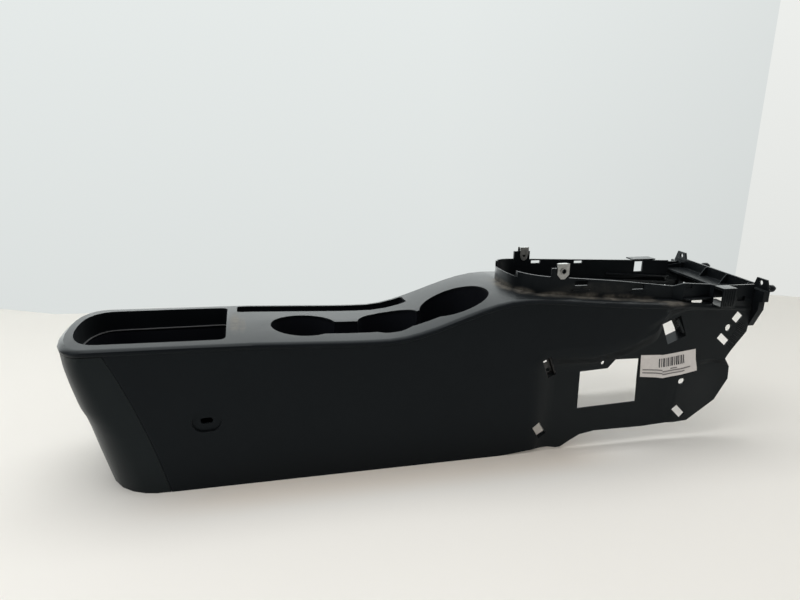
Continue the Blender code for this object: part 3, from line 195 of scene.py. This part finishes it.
def makeFloor():
    material, nodes, links = newMaterial("paleFloor")
    surface = nodes["Principled BSDF"]
    surface.inputs["Roughness"].default_value = floorLook["roughness"]
    surface.inputs["Specular IOR Level"].default_value = floorLook["specular"]
    place = objectPlace(nodes)
    colour = mottle(nodes, links, place, floorLook)[1]
    axes = splitPlace(nodes, links, place)
    # the floor under and in front of the console is tinted darker and warmer as painted shadow
    shadowShare = 1.0
    for axis, span in floorLook["shadowSpans"]:
        fade = spread(nodes, links, axes[axis], span, kind="SMOOTHSTEP")
        shadowShare = combine(nodes, links, "MULTIPLY", shadowShare, fade)
    shadowed = blendColour(nodes, links, shadowShare, colour, opaque(floorLook["shadowTint"]), "MULTIPLY")
    links.new(shadowed, surface.inputs["Base Color"])
    shape = bmesh.new()
    bmesh.ops.create_grid(shape, x_segments=2, y_segments=2, size=floorLook["reach"])
    meshObject("floor", shape, material)


# the wall's foot runs along the back to a corner, and from there along the side
wallLook = {
    "backFoot": [(-3.2, 1.75), (-0.79, 0.762), (-0.67, 0.70), (0.30, 0.62), (1.03, 0.62)],
    "sideFoot": [(1.6, 0.30), (3.5, -0.60)],
    "height": 1.25,
    "backColour": (0.765, 0.80, 0.79),
    "sideLitColour": (0.895, 0.91, 0.885),
    "sideStart": 1.031,
    "roughness": 0.9,
    "specular": 0.1,
    # how bright the camera sees it, by height and along the back towards the corner
    "riseSpan": (0.0, 0.8),
    "riseShares": (0.93, 1.05),
    "cornerSpan": (0.2, 1.03),
    "cornerShares": (1.0, 0.91),
    "mirrorStrength": 3.0,
}


def makeWall():
    material, nodes, links = newMaterial("paleWall")
    surface = nodes["Principled BSDF"]
    surface.inputs["Roughness"].default_value = wallLook["roughness"]
    surface.inputs["Specular IOR Level"].default_value = wallLook["specular"]
    axes = splitPlace(nodes, links, objectPlace(nodes))
    # past the corner the side wall is painted paler, as painted light on the turned wall, and the
    # camera-seen glow darkens towards the corner as painted shade
    onSide = combine(nodes, links, "GREATER_THAN", axes["X"], wallLook["sideStart"])
    paintAndLight = blendColour(nodes, links, onSide, opaque(wallLook["backColour"]), opaque(wallLook["sideLitColour"]))
    links.new(paintAndLight, surface.inputs["Base Color"])
    # the camera sees the wall at its plain colour, reflections see it brightly lit
    rise = spread(nodes, links, axes["Z"], wallLook["riseSpan"], wallLook["riseShares"])
    shade = spread(nodes, links, axes["X"], wallLook["cornerSpan"], wallLook["cornerShares"])
    seen = emission(nodes, links, paintAndLight, combine(nodes, links, "MULTIPLY", rise, shade))
    mirrored = emission(nodes, links, paintAndLight, wallLook["mirrorStrength"])
    ray = nodes.new("ShaderNodeLightPath").outputs
    lit = blendShader(nodes, links, ray["Is Glossy Ray"], surface.outputs["BSDF"], mirrored)
    shown = blendShader(nodes, links, ray["Is Camera Ray"], lit, seen)
    # from behind, the wall lets the view through
    clear = nodes.new("ShaderNodeBsdfTransparent").outputs["BSDF"]
    behind = nodes.new("ShaderNodeNewGeometry").outputs["Backfacing"]
    finished = blendShader(nodes, links, behind, shown, clear)
    links.new(finished, nodes["Material Output"].inputs["Surface"])
    shape = bmesh.new()
    feet = [shape.verts.new((x, y, 0.0)) for x, y in wallLook["backFoot"] + wallLook["sideFoot"]]
    line = [shape.edges.new(pair) for pair in zip(feet, feet[1:])]
    grown = bmesh.ops.extrude_edge_only(shape, edges=line)["geom"]
    tops = [part for part in grown if isinstance(part, bmesh.types.BMVert)]
    bmesh.ops.translate(shape, verts=tops, vec=(0, 0, wallLook["height"]))
    shape.normal_update()
    bmesh.ops.reverse_faces(shape, faces=[face for face in shape.faces if face.normal.y > 0])
    meshObject("wall", shape, material)


lamps = {
    "overhead": {"place": (-0.50, 0.62, 2.40), "aim": (-0.2, 0.20, 0.0), "size": (3.4, 2.4), "power": 62.0,
                 "colour": (1.0, 0.995, 0.98)},
    "window": {"place": (-1.7, -0.5, 1.2), "aim": (0.0, 0.0, 0.1), "size": (1.2, 1.2), "power": 4.0,
               "colour": (0.95, 0.98, 1.0)},
    "frontFill": {"place": (0.75, -0.75, 1.1), "aim": (0.35, -0.1, 0.0), "size": (0.7, 0.7), "power": 0.8,
                  "colour": (1.0, 0.99, 0.97)},
}
roomLook = {"colour": (0.66, 0.64, 0.62), "strength": 0.60}


def makeLight():
    room = bpy.data.worlds.new("softRoom")
    room.use_nodes = True
    nodes, links = room.node_tree.nodes, room.node_tree.links
    soft = nodes["Background"]
    soft.inputs["Color"].default_value = opaque(roomLook["colour"])
    soft.inputs["Strength"].default_value = roomLook["strength"]
    # past the floor's end the view is as pale as the wall
    pale = nodes.new("ShaderNodeBackground")
    pale.inputs["Color"].default_value = opaque(wallLook["backColour"])
    seen = nodes.new("ShaderNodeLightPath").outputs["Is Camera Ray"]
    around = blendShader(nodes, links, seen, soft.outputs["Background"], pale.outputs["Background"])
    links.new(around, nodes["World Output"].inputs["Surface"])
    bpy.context.scene.world = room
    for name, lamp in lamps.items():
        data = bpy.data.lights.new(name, "AREA")
        data.shape = "RECTANGLE"
        data.size, data.size_y = lamp["size"]
        data.energy = lamp["power"]
        data.color = lamp["colour"]
        light = bpy.data.objects.new(name, data)
        bpy.context.scene.collection.objects.link(light)
        light.location = lamp["place"]
        aim = Vector(lamp["aim"]) - Vector(lamp["place"])
        light.rotation_euler = aim.to_track_quat("-Z", "Y").to_euler()


setCamera()
makeFloor()
makeWall()
makeLight()
bpy.context.scene.view_settings.view_transform = "Standard"
print("camera, stage and light ready")


# pale dust lies in patches: the middle of each, its reach along each axis, and how thick it is
dust = {
    "patches": [
        {"place": (0.2110, -0.004, 0.1755), "reach": (0.008, 0.050, 0.01), "amount": 0.36},
        {"place": (0.2195, -0.015, 0.1755), "reach": (0.006, 0.038, 0.01), "amount": 0.20},
        {"place": (0.556, -0.004, 0.2120), "reach": (0.012, 0.044, 0.007), "amount": 0.40},
        {"place": (0.573, -0.045, 0.2095), "reach": (0.016, 0.018, 0.007), "amount": 0.38},
        {"place": (0.605, -0.063, 0.2070), "reach": (0.034, 0.011, 0.006), "amount": 0.40},
        {"place": (0.650, -0.064, 0.2045), "reach": (0.038, 0.011, 0.006), "amount": 0.44},
        {"place": (0.695, -0.064, 0.2005), "reach": (0.038, 0.011, 0.006), "amount": 0.44},
        {"place": (0.735, -0.067, 0.1965), "reach": (0.030, 0.011, 0.006), "amount": 0.40},
        {"place": (0.775, -0.076, 0.1925), "reach": (0.030, 0.010, 0.006), "amount": 0.40},
        {"place": (0.665, -0.060, 0.2110), "reach": (0.070, 0.004, 0.012), "amount": 0.07},
    ],
    "fade": (0.35, 1.1),  # in shares of the reach
    "speckleScale": 75.0,
    "speckleDetail": 6.0,
    "speckleRoughness": 0.65,
    "speckleSpan": (0.32, 0.66),
    "dulling": 0.5,  # how much rougher full dust makes the plastic
}


def dustMask(nodes, links, place):
    thickest = 0.0
    for patch in dust["patches"]:
        centred = combinePlaces(nodes, links, "SUBTRACT", place, at(*patch["place"]))
        scaled = combinePlaces(nodes, links, "DIVIDE", centred, patch["reach"])
        away = combinePlaces(nodes, links, "LENGTH", scaled)
        amount = spread(nodes, links, away, dust["fade"], (patch["amount"], 0.0), "SMOOTHSTEP")
        thickest = combine(nodes, links, "MAXIMUM", thickest, amount)
    speckles = nodes.new("ShaderNodeTexNoise")
    speckles.inputs["Scale"].default_value = dust["speckleScale"]
    speckles.inputs["Detail"].default_value = dust["speckleDetail"]
    speckles.inputs["Roughness"].default_value = dust["speckleRoughness"]
    links.new(place, speckles.inputs["Vector"])
    grainy = spread(nodes, links, speckles.outputs["Fac"], dust["speckleSpan"])
    return combine(nodes, links, "MULTIPLY", grainy, thickest)


# soft steps pressed into the wings, each below its line: how deep, over what fall, and where it starts
reliefs = {
    "steps": [
        {"line": [(0.570, 0.1290), (0.605, 0.1303), (0.638, 0.1294), (0.6735, 0.1299), (0.7164, 0.1397),
                  (0.7381, 0.1491), (0.7535, 0.1570), (0.7615, 0.1727), (0.775, 0.1900), (0.930, 0.1900)],
         "depth": 0.0055, "fall": 0.015, "starts": (0.572, 0.612)},
        {"line": [(0.570, 0.1100), (0.8235, 0.1100), (0.8450, 0.1125), (0.8640, 0.1085), (0.930, 0.1085)],
         "depth": 0.0060, "fall": 0.007, "starts": (0.780, 0.862)},
    ],
    # the curve node reaches from 0 to 1, which stands for this height
    "curveTop": 0.2,
}


def stepLine(nodes, links, along, line):
    first, last = line[0][0], line[-1][0]
    curve = nodes.new("ShaderNodeFloatCurve")
    points = curve.mapping.curves[0].points
    for index, (x, z) in enumerate(line):
        spot = ((x - first) / (last - first), z / reliefs["curveTop"])
        if index < 2:
            points[index].location = spot
        else:
            points.new(*spot)
    curve.mapping.update()
    links.new(spread(nodes, links, along, (first, last)), curve.inputs["Value"])
    return combine(nodes, links, "MULTIPLY", curve.outputs["Value"], reliefs["curveTop"])


def wingRelief(nodes, links, place):
    axes = splitPlace(nodes, links, combinePlaces(nodes, links, "SUBTRACT", place, datum))
    shares, presses = [], []
    for step in reliefs["steps"]:
        line = stepLine(nodes, links, axes["X"], step["line"])
        below = combine(nodes, links, "SUBTRACT", line, axes["Z"])
        sunk = spread(nodes, links, below, (0.0, step["fall"]), kind="SMOOTHSTEP")
        begun = spread(nodes, links, axes["X"], step["starts"], kind="SMOOTHSTEP")
        shares.append(combine(nodes, links, "MULTIPLY", sunk, begun))
        presses.append(emboss(nodes, links, shares[-1], 1.0, step["depth"], pressed=True))
    upper, lower = presses
    links.new(upper.outputs["Normal"], lower.inputs["Normal"])
    return shares[0], lower.outputs["Normal"]


def plastic(name, look):
    material, nodes, links = newMaterial(name)
    surface = nodes["Principled BSDF"]
    place = objectPlace(nodes)
    share, colour = mottle(nodes, links, place, look)
    roughness = spread(nodes, links, share, shares=look["roughness"])
    grain = nodes.new("ShaderNodeTexVoronoi")
    grain.inputs["Scale"].default_value = look["grainScale"]
    links.new(place, grain.inputs["Vector"])
    moulded = emboss(nodes, links, grain.outputs["Distance"], look["grainStrength"], look["grainDepth"])
    # the sunk parts of the wings are painted a lighter colour, as painted light
    if "sunkPaintedLight" in look:
        sunk, pressed = wingRelief(nodes, links, place)
        colour = blendColour(nodes, links, sunk, colour, opaque(look["sunkPaintedLight"]))
        links.new(pressed, moulded.inputs["Normal"])
    if "dustColour" in look:
        dusty = dustMask(nodes, links, place)
        colour = blendColour(nodes, links, dusty, colour, opaque(look["dustColour"]))
        roughness = combine(nodes, links, "MULTIPLY_ADD", dusty, dust["dulling"], roughness)
    links.new(colour, surface.inputs["Base Color"])
    links.new(roughness, surface.inputs["Roughness"])
    links.new(moulded.outputs["Normal"], surface.inputs["Normal"])
    surface.inputs["Specular IOR Level"].default_value = look["specular"]
    surface.inputs["Specular Tint"].default_value = opaque(look["specularTint"])
    surface.inputs["Sheen Weight"].default_value = look["sheen"]
    surface.inputs["Sheen Roughness"].default_value = look["sheenRoughness"]
    surface.inputs["Sheen Tint"].default_value = opaque(look["sheenTint"])
    return material


def metal(name, look):
    material, nodes, links = newMaterial(name)
    surface = nodes["Principled BSDF"]
    surface.inputs["Metallic"].default_value = 1.0
    worn, colour = mottle(nodes, links, objectPlace(nodes), look)
    pitted = emboss(nodes, links, worn, look["pitStrength"], look["pitDepth"])
    links.new(colour, surface.inputs["Base Color"])
    links.new(spread(nodes, links, worn, shares=look["roughness"]), surface.inputs["Roughness"])
    links.new(pitted.outputs["Normal"], surface.inputs["Normal"])
    return material


def paper(name, look):
    material, nodes, links = newMaterial(name)
    surface = nodes["Principled BSDF"]
    surface.inputs["Specular IOR Level"].default_value = look["specular"]
    fibres, colour = mottle(nodes, links, objectPlace(nodes), look)
    links.new(colour, surface.inputs["Base Color"])
    links.new(spread(nodes, links, fibres, shares=look["roughness"]), surface.inputs["Roughness"])
    return material


# every plastic starts from this one
blackLook = {
    "colour": (0.0034, 0.0043, 0.0054), "mottled": (0.0052, 0.0064, 0.0076), "mottleScale": 14.0,
    "mottleDetail": 5.0, "roughness": (0.31, 0.39), "grainScale": 1900.0, "grainStrength": 0.25,
    "grainDepth": 0.0001, "specular": 0.125, "specularTint": (0.80, 0.92, 1.0), "sheen": 0.05,
    "sheenRoughness": 0.4, "sheenTint": (0.84, 0.95, 1.0),
}
# the body's lighter colour in its sunk wing parts is painted light; its dust is real dust
bodyLook = dict(blackLook, sunkPaintedLight=(0.0082, 0.0096, 0.0104), dustColour=(0.34, 0.31, 0.26))
panelLook = dict(blackLook, colour=(0.0084, 0.0106, 0.0112), mottled=(0.0114, 0.0140, 0.0148))
linerLook = dict(blackLook, colour=(0.0040, 0.0044, 0.0066), mottled=(0.0058, 0.0064, 0.0090), sheen=0.0,
                 roughness=(0.51, 0.59), grainScale=900.0, specular=0.12)
carrierLook = dict(blackLook, roughness=(0.32, 0.40), grainScale=2600.0, grainStrength=0.12)
# the ledge's pale grey is a painted highlight on black plastic
ledgeHighlightLook = dict(linerLook, colour=(0.13, 0.135, 0.14), mottled=(0.17, 0.175, 0.18))
springLook = {"colour": (0.46, 0.47, 0.46), "mottled": (0.26, 0.26, 0.25), "mottleScale": 380.0,
              "mottleDetail": 4.0, "roughness": (0.26, 0.46), "pitStrength": 0.15, "pitDepth": 0.00005}
sideSpringLook = dict(springLook, colour=(0.10, 0.10, 0.10), mottled=(0.045, 0.045, 0.045),
                      roughness=(0.34, 0.54))
screwLook = dict(springLook, colour=(0.34, 0.34, 0.35), mottled=(0.20, 0.20, 0.20), mottleScale=420.0,
                 roughness=(0.32, 0.52))
paperLook = {"colour": (0.78, 0.745, 0.725), "mottled": (0.66, 0.63, 0.61), "mottleScale": 260.0,
             "mottleDetail": 5.0, "roughness": (0.45, 0.70), "specular": 0.25}
inkLook = dict(paperLook, colour=(0.030, 0.030, 0.036), mottled=(0.055, 0.053, 0.058))
greyInkLook = dict(paperLook, colour=(0.20, 0.19, 0.19), mottled=(0.26, 0.25, 0.245))

finishes = {
    "grained_black": plastic("grainedBlack", bodyLook),
    "panel_black": plastic("panelBlack", panelLook),
    "bin_black": plastic("binBlack", linerLook),
    "insert_black": plastic("insertBlack", dict(linerLook, mottleScale=18.0)),
    "pocket_black": plastic("pocketBlack", dict(linerLook, mottleScale=22.0)),
    "carrier_black": plastic("carrierBlack", carrierLook),
    "spring_steel": metal("springSteel", springLook),
    "screw_steel": metal("screwSteel", screwLook),
}
ledgeHighlight = plastic("ledgeHighlight", ledgeHighlightLook)
sideSpring = metal("sideSpring", sideSpringLook)
labelPaper = paper("labelPaper", paperLook)
labelInk = paper("labelInk", inkLook)
labelGrey = paper("labelGrey", greyInkLook)
print("finishes ready")


# moulded parts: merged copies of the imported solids, with soft edges
mouldings = {
    "console_body": {"piece": "consoleBody", "slot": "grained_black", "edge": 0.0005},
    "rear_panel": {"piece": "rearPanel", "slot": "panel_black", "edge": 0.0003},
    "tray_bin": {"piece": "trayBin", "slot": "bin_black", "edge": 0.0004},
    "cup_insert": {"piece": "cupInsert", "slot": "insert_black", "edge": 0.0004},
    "slot_pocket": {"piece": "slotPocket", "slot": "pocket_black", "edge": 0.0004},
    "front_carrier": {"piece": "frontCarrier", "slot": "carrier_black", "edge": 0.0004},
}
softEdges = {"merge": 0.00002, "flatAngle": math.radians(0.5), "sharpAngle": math.radians(32), "segments": 2}


def dressMoulding(node, look):
    shape = bmesh.new()
    shape.from_mesh(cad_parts[node].data)
    bmesh.ops.remove_doubles(shape, verts=shape.verts, dist=softEdges["merge"])
    bmesh.ops.dissolve_limit(shape, angle_limit=softEdges["flatAngle"], verts=shape.verts, edges=shape.edges)
    for face in shape.faces:
        face.smooth = True
    for edge in shape.edges:
        if len(edge.link_faces) == 2:
            edge.smooth = edge.calc_face_angle(0.0) < softEdges["sharpAngle"]
    piece = meshObject(look["piece"], shape, finishes[look["slot"]])
    rounded = piece.modifiers.new("softEdges", "BEVEL")
    rounded.width = look["edge"]
    rounded.segments = softEdges["segments"]
    rounded.limit_method = "ANGLE"
    rounded.angle_limit = softEdges["sharpAngle"]
    weighted = piece.modifiers.new("evenShading", "WEIGHTED_NORMAL")
    weighted.keep_sharp = True
    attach(piece, "root")
    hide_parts(node)


for node, look in mouldings.items():
    dressMoulding(node, look)
print("moulded parts dressed")

for node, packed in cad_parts.items():
    if node not in mouldings:
        steel = "spring_steel" if "clip" in node else "screw_steel"
        packed.data.materials.clear()
        packed.data.materials.append(sideSpring if "side_clip" in node else finishes[steel])
print("metal parts finished")


# the housing's surface, met by a line that starts outside the near side, to lay things on
nearSide = {"outside": -0.2, "inwards": Vector((0, 1, 0))}
bodyShape = bmesh.new()
bodyShape.from_mesh(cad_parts["console_body"].data)
bodySkin = BVHTree.FromBMesh(bodyShape)
bodyShape.free()


def onNearSide(x, z, lift):
    met = bodySkin.ray_cast(at(x, nearSide["outside"], z), nearSide["inwards"])[0]
    return met - nearSide["inwards"] * lift


def addBox(shape, middle, size, turn=Matrix.Identity(4)):
    placed = Matrix.Translation(middle) @ turn @ Matrix.Diagonal((*size, 1.0))
    bmesh.ops.create_cube(shape, size=1.0, matrix=placed)


trimMerge = 0.000001


def trimPiece(name, shape, finish):
    bmesh.ops.remove_doubles(shape, verts=shape.verts, dist=trimMerge)
    bmesh.ops.recalc_face_normals(shape, faces=shape.faces)
    piece = meshObject(name, shape, finish)
    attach(piece, "root")


# the label's corners on each side of its fold, lower ones first, and its print in shares of a side
label = {
    "left": [(0.7370, 0.0925), (0.7710, 0.0888), (0.7665, 0.1222), (0.7340, 0.1238)],
    "right": [(0.7710, 0.0888), (0.8215, 0.0975), (0.8170, 0.1280), (0.7665, 0.1222)],
    "lift": 0.0007,
    "thickness": 0.0003,
    "steps": (8, 8),
    "inkLift": 0.0010,
    "inkThickness": 0.0001,
    # each bar's start and width
    "bars": [(-0.095, 0.030), (-0.03, 0.020), (0.02, 0.040), (0.09, 0.018), (0.14, 0.036), (0.205, 0.020),
             (0.25, 0.046), (0.325, 0.024), (0.38, 0.036), (0.435, 0.040), (0.505, 0.018), (0.545, 0.034),
             (0.605, 0.030)],
    "barRows": (0.47, 0.85),
    "barSteps": (1, 6),
    # each line's side, start, end and lower edge
    "lines": [("left", 0.10, 1.0, 0.30), ("right", 0.0, 0.80, 0.24), ("left", 0.10, 1.0, 0.16),
              ("right", 0.0, 0.62, 0.12), ("right", 0.22, 0.40, 0.33)],
    "lineTall": 0.05,
    "lineSteps": (10, 1),
}


def labelPatch(shape, side, acrossSpan, upSpan, steps, lift, thickness):
    lowStart, lowEnd, highEnd, highStart = (Vector(corner) for corner in label[side])
    grid = bmesh.ops.create_grid(shape, x_segments=steps[0], y_segments=steps[1], size=0.5)["verts"]
    for vert in grid:
        across = acrossSpan[0] + (acrossSpan[1] - acrossSpan[0]) * (vert.co.x + 0.5)
        upward = upSpan[0] + (upSpan[1] - upSpan[0]) * (vert.co.y + 0.5)
        x, z = lowStart.lerp(lowEnd, across).lerp(highStart.lerp(highEnd, across), upward)
        vert.co = onNearSide(x, z, lift)
    faces = list(dict.fromkeys(face for vert in grid for face in vert.link_faces))
    bmesh.ops.solidify(shape, geom=faces, thickness=thickness)


def makeLabel():
    sheet = bmesh.new()
    for side in ("left", "right"):
        labelPatch(sheet, side, (0, 1), (0, 1), label["steps"], label["lift"], label["thickness"])
    trimPiece("labelSheet", sheet, labelPaper)
    lift, thickness = label["inkLift"], label["inkThickness"]
    bars = bmesh.new()
    for start, wide in label["bars"]:
        across = (start, start + wide)
        labelPatch(bars, "right", across, label["barRows"], label["barSteps"], lift, thickness)
    trimPiece("labelBars", bars, labelInk)
    lines = bmesh.new()
    for side, start, end, row in label["lines"]:
        rows = (row, row + label["lineTall"])
        labelPatch(lines, side, (start, end), rows, label["lineSteps"], lift, thickness)
    trimPiece("labelLines", lines, labelGrey)


# the far spring's oval leaf, in front of its post, with its hole above its middle
leaf = {
    "middle": (0.6180, 0.0553, 0.2379),
    "half": (0.0060, 0.0095),
    "hole": (0.0030, 0.0056),
    "holeRise": 0.0012,
    "thickness": 0.0007,
    "sides": 28,
}


def makeLeaf():
    shape = bmesh.new()
    loops = []
    for (wide, tall), rise in ((leaf["half"], 0.0), (leaf["hole"], leaf["holeRise"])):
        ring = bmesh.ops.create_circle(shape, segments=leaf["sides"], radius=1.0)["verts"]
        for vert in ring:
            vert.co = at(*leaf["middle"]) + Vector((vert.co.x * wide, 0.0, vert.co.y * tall + rise))
        loops += dict.fromkeys(edge for vert in ring for edge in vert.link_edges)
    made = bmesh.ops.bridge_loops(shape, edges=loops)["faces"]
    bmesh.ops.solidify(shape, geom=made, thickness=leaf["thickness"])
    trimPiece("farSpringLeaf", shape, finishes["spring_steel"])


# upright ribs on the socket, leaning ribs in the pocket, and short ribs along the wing's front corner
ribs = {
    "socket": {"first": (0.8385, -0.0959, 0.2015), "size": (0.0011, 0.0012, 0.0230)},
    "pocket": {"first": -0.0800, "top": (0.7828, 0.1722), "foot": (0.7958, 0.1505), "size": (0.0012, 0.0030),
               "cover": 0.9},
    "pitch": 0.0035,
    "count": 5,
    "strip": {"inner": ((0.8800, 0.1660), (0.8790, 0.1520), (0.8650, 0.1310)),
              "outer": ((0.8915, 0.1580), (0.8900, 0.1460), (0.8730, 0.1245)),
              "count": 10, "size": (0.0016, 0.0009), "deepest": -0.06},
}


def alongLine(line, share):
    spot = share * (len(line) - 1)
    index = min(int(spot), len(line) - 2)
    return Vector(line[index]).lerp(Vector(line[index + 1]), spot - index)


def leaning(run):
    return Matrix.Rotation(math.atan2(-run.y, run.x), 4, "Y")


def makeRibs():
    shape = bmesh.new()
    socket, pocket, strip = ribs["socket"], ribs["pocket"], ribs["strip"]
    top, foot = Vector(pocket["top"]), Vector(pocket["foot"])
    middle, run = (top + foot) / 2, top - foot
    long = run.length * pocket["cover"]
    for index in range(ribs["count"]):
        step = index * ribs["pitch"]
        addBox(shape, at(*socket["first"]) + Vector((step, 0, 0)), socket["size"])
        addBox(shape, at(middle.x, pocket["first"] + step, middle.y), (long, *pocket["size"]), leaning(run))
    for index in range(strip["count"]):
        share = (index + 0.5) / strip["count"]
        inner, outer = alongLine(strip["inner"], share), alongLine(strip["outer"], share)
        level = onNearSide(*((inner + outer) / 2), 0.0)
        # a rib is left out where the wall has an opening
        if level.y < strip["deepest"]:
            addBox(shape, level, ((outer - inner).length, *strip["size"]), leaning(outer - inner))
    trimPiece("mouldedRibs", shape, finishes["grained_black"])


# two small shelves in the near clip windows
shelves = {
    "places": [((0.6345, 0.6590), 0.2122), ((0.7190, 0.7430), 0.2062)],
    "y": -0.0610,
    "deep": 0.0030,
    "thick": 0.0010,
}


def makeShelves():
    shape = bmesh.new()
    for (start, end), z in shelves["places"]:
        size = (end - start, shelves["deep"], shelves["thick"])
        addBox(shape, at((start + end) / 2, shelves["y"], z), size)
    trimPiece("windowShelves", shape, finishes["grained_black"])


# the lip round the tray's wall, cut from the skirt's own outline, painted pale grey as a painted highlight
# of the light its narrow top catches
trayLedge = {
    "cut": 0.1530,  # the height at which the outline is taken
    "top": 0.1516,
    "inset": 0.0018,
    "thickness": 0.0009,
    "middle": 0.115,
    "shortest": 0.12,  # shorter rings don't count
    "merge": 0.0001,
}


def connected(start):
    found, waiting = {start}, [start]
    while waiting:
        for edge in waiting.pop().link_edges:
            for vert in edge.verts:
                if vert not in found:
                    found.add(vert)
                    waiting.append(vert)
    return found


def makeTrayLedge():
    shape = bmesh.new()
    shape.from_mesh(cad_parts["console_body"].data)
    everything = shape.verts[:] + shape.edges[:] + shape.faces[:]
    bmesh.ops.bisect_plane(shape, geom=everything, plane_co=(0, 0, trayLedge["cut"]), plane_no=(0, 0, 1),
                           clear_inner=True, clear_outer=True)
    bmesh.ops.remove_doubles(shape, verts=shape.verts, dist=trayLedge["merge"])
    # the skirt's inner outline is the shortest of the rings round the tray's middle
    middle = at(trayLedge["middle"], 0, 0).x
    rings, seen = [], set()
    for vert in shape.verts:
        if vert not in seen:
            ring = connected(vert)
            seen |= ring
            start, end = min(part.co.x for part in ring), max(part.co.x for part in ring)
            if end - start > trayLedge["shortest"] and start < middle < end:
                rings.append((end - start, ring))
    inner = min(rings, key=lambda found: found[0])[1]
    bmesh.ops.delete(shape, geom=[vert for vert in shape.verts if vert not in inner], context="VERTS")
    made = bmesh.ops.contextual_create(shape, geom=shape.edges[:])["faces"]
    bmesh.ops.inset_region(shape, faces=made, thickness=trayLedge["inset"], use_even_offset=True,
                           use_boundary=True)
    bmesh.ops.delete(shape, geom=made, context="FACES_ONLY")
    bmesh.ops.solidify(shape, geom=shape.faces[:], thickness=trayLedge["thickness"])
    drop = trayLedge["top"] - max(vert.co.z for vert in shape.verts)
    bmesh.ops.translate(shape, verts=shape.verts, vec=(0, 0, drop))
    trimPiece("trayLedge", shape, ledgeHighlight)


makeLabel()
makeLeaf()
makeRibs()
makeShelves()
makeTrayLedge()
print("label, leaf, ribs, shelves and ledge made")
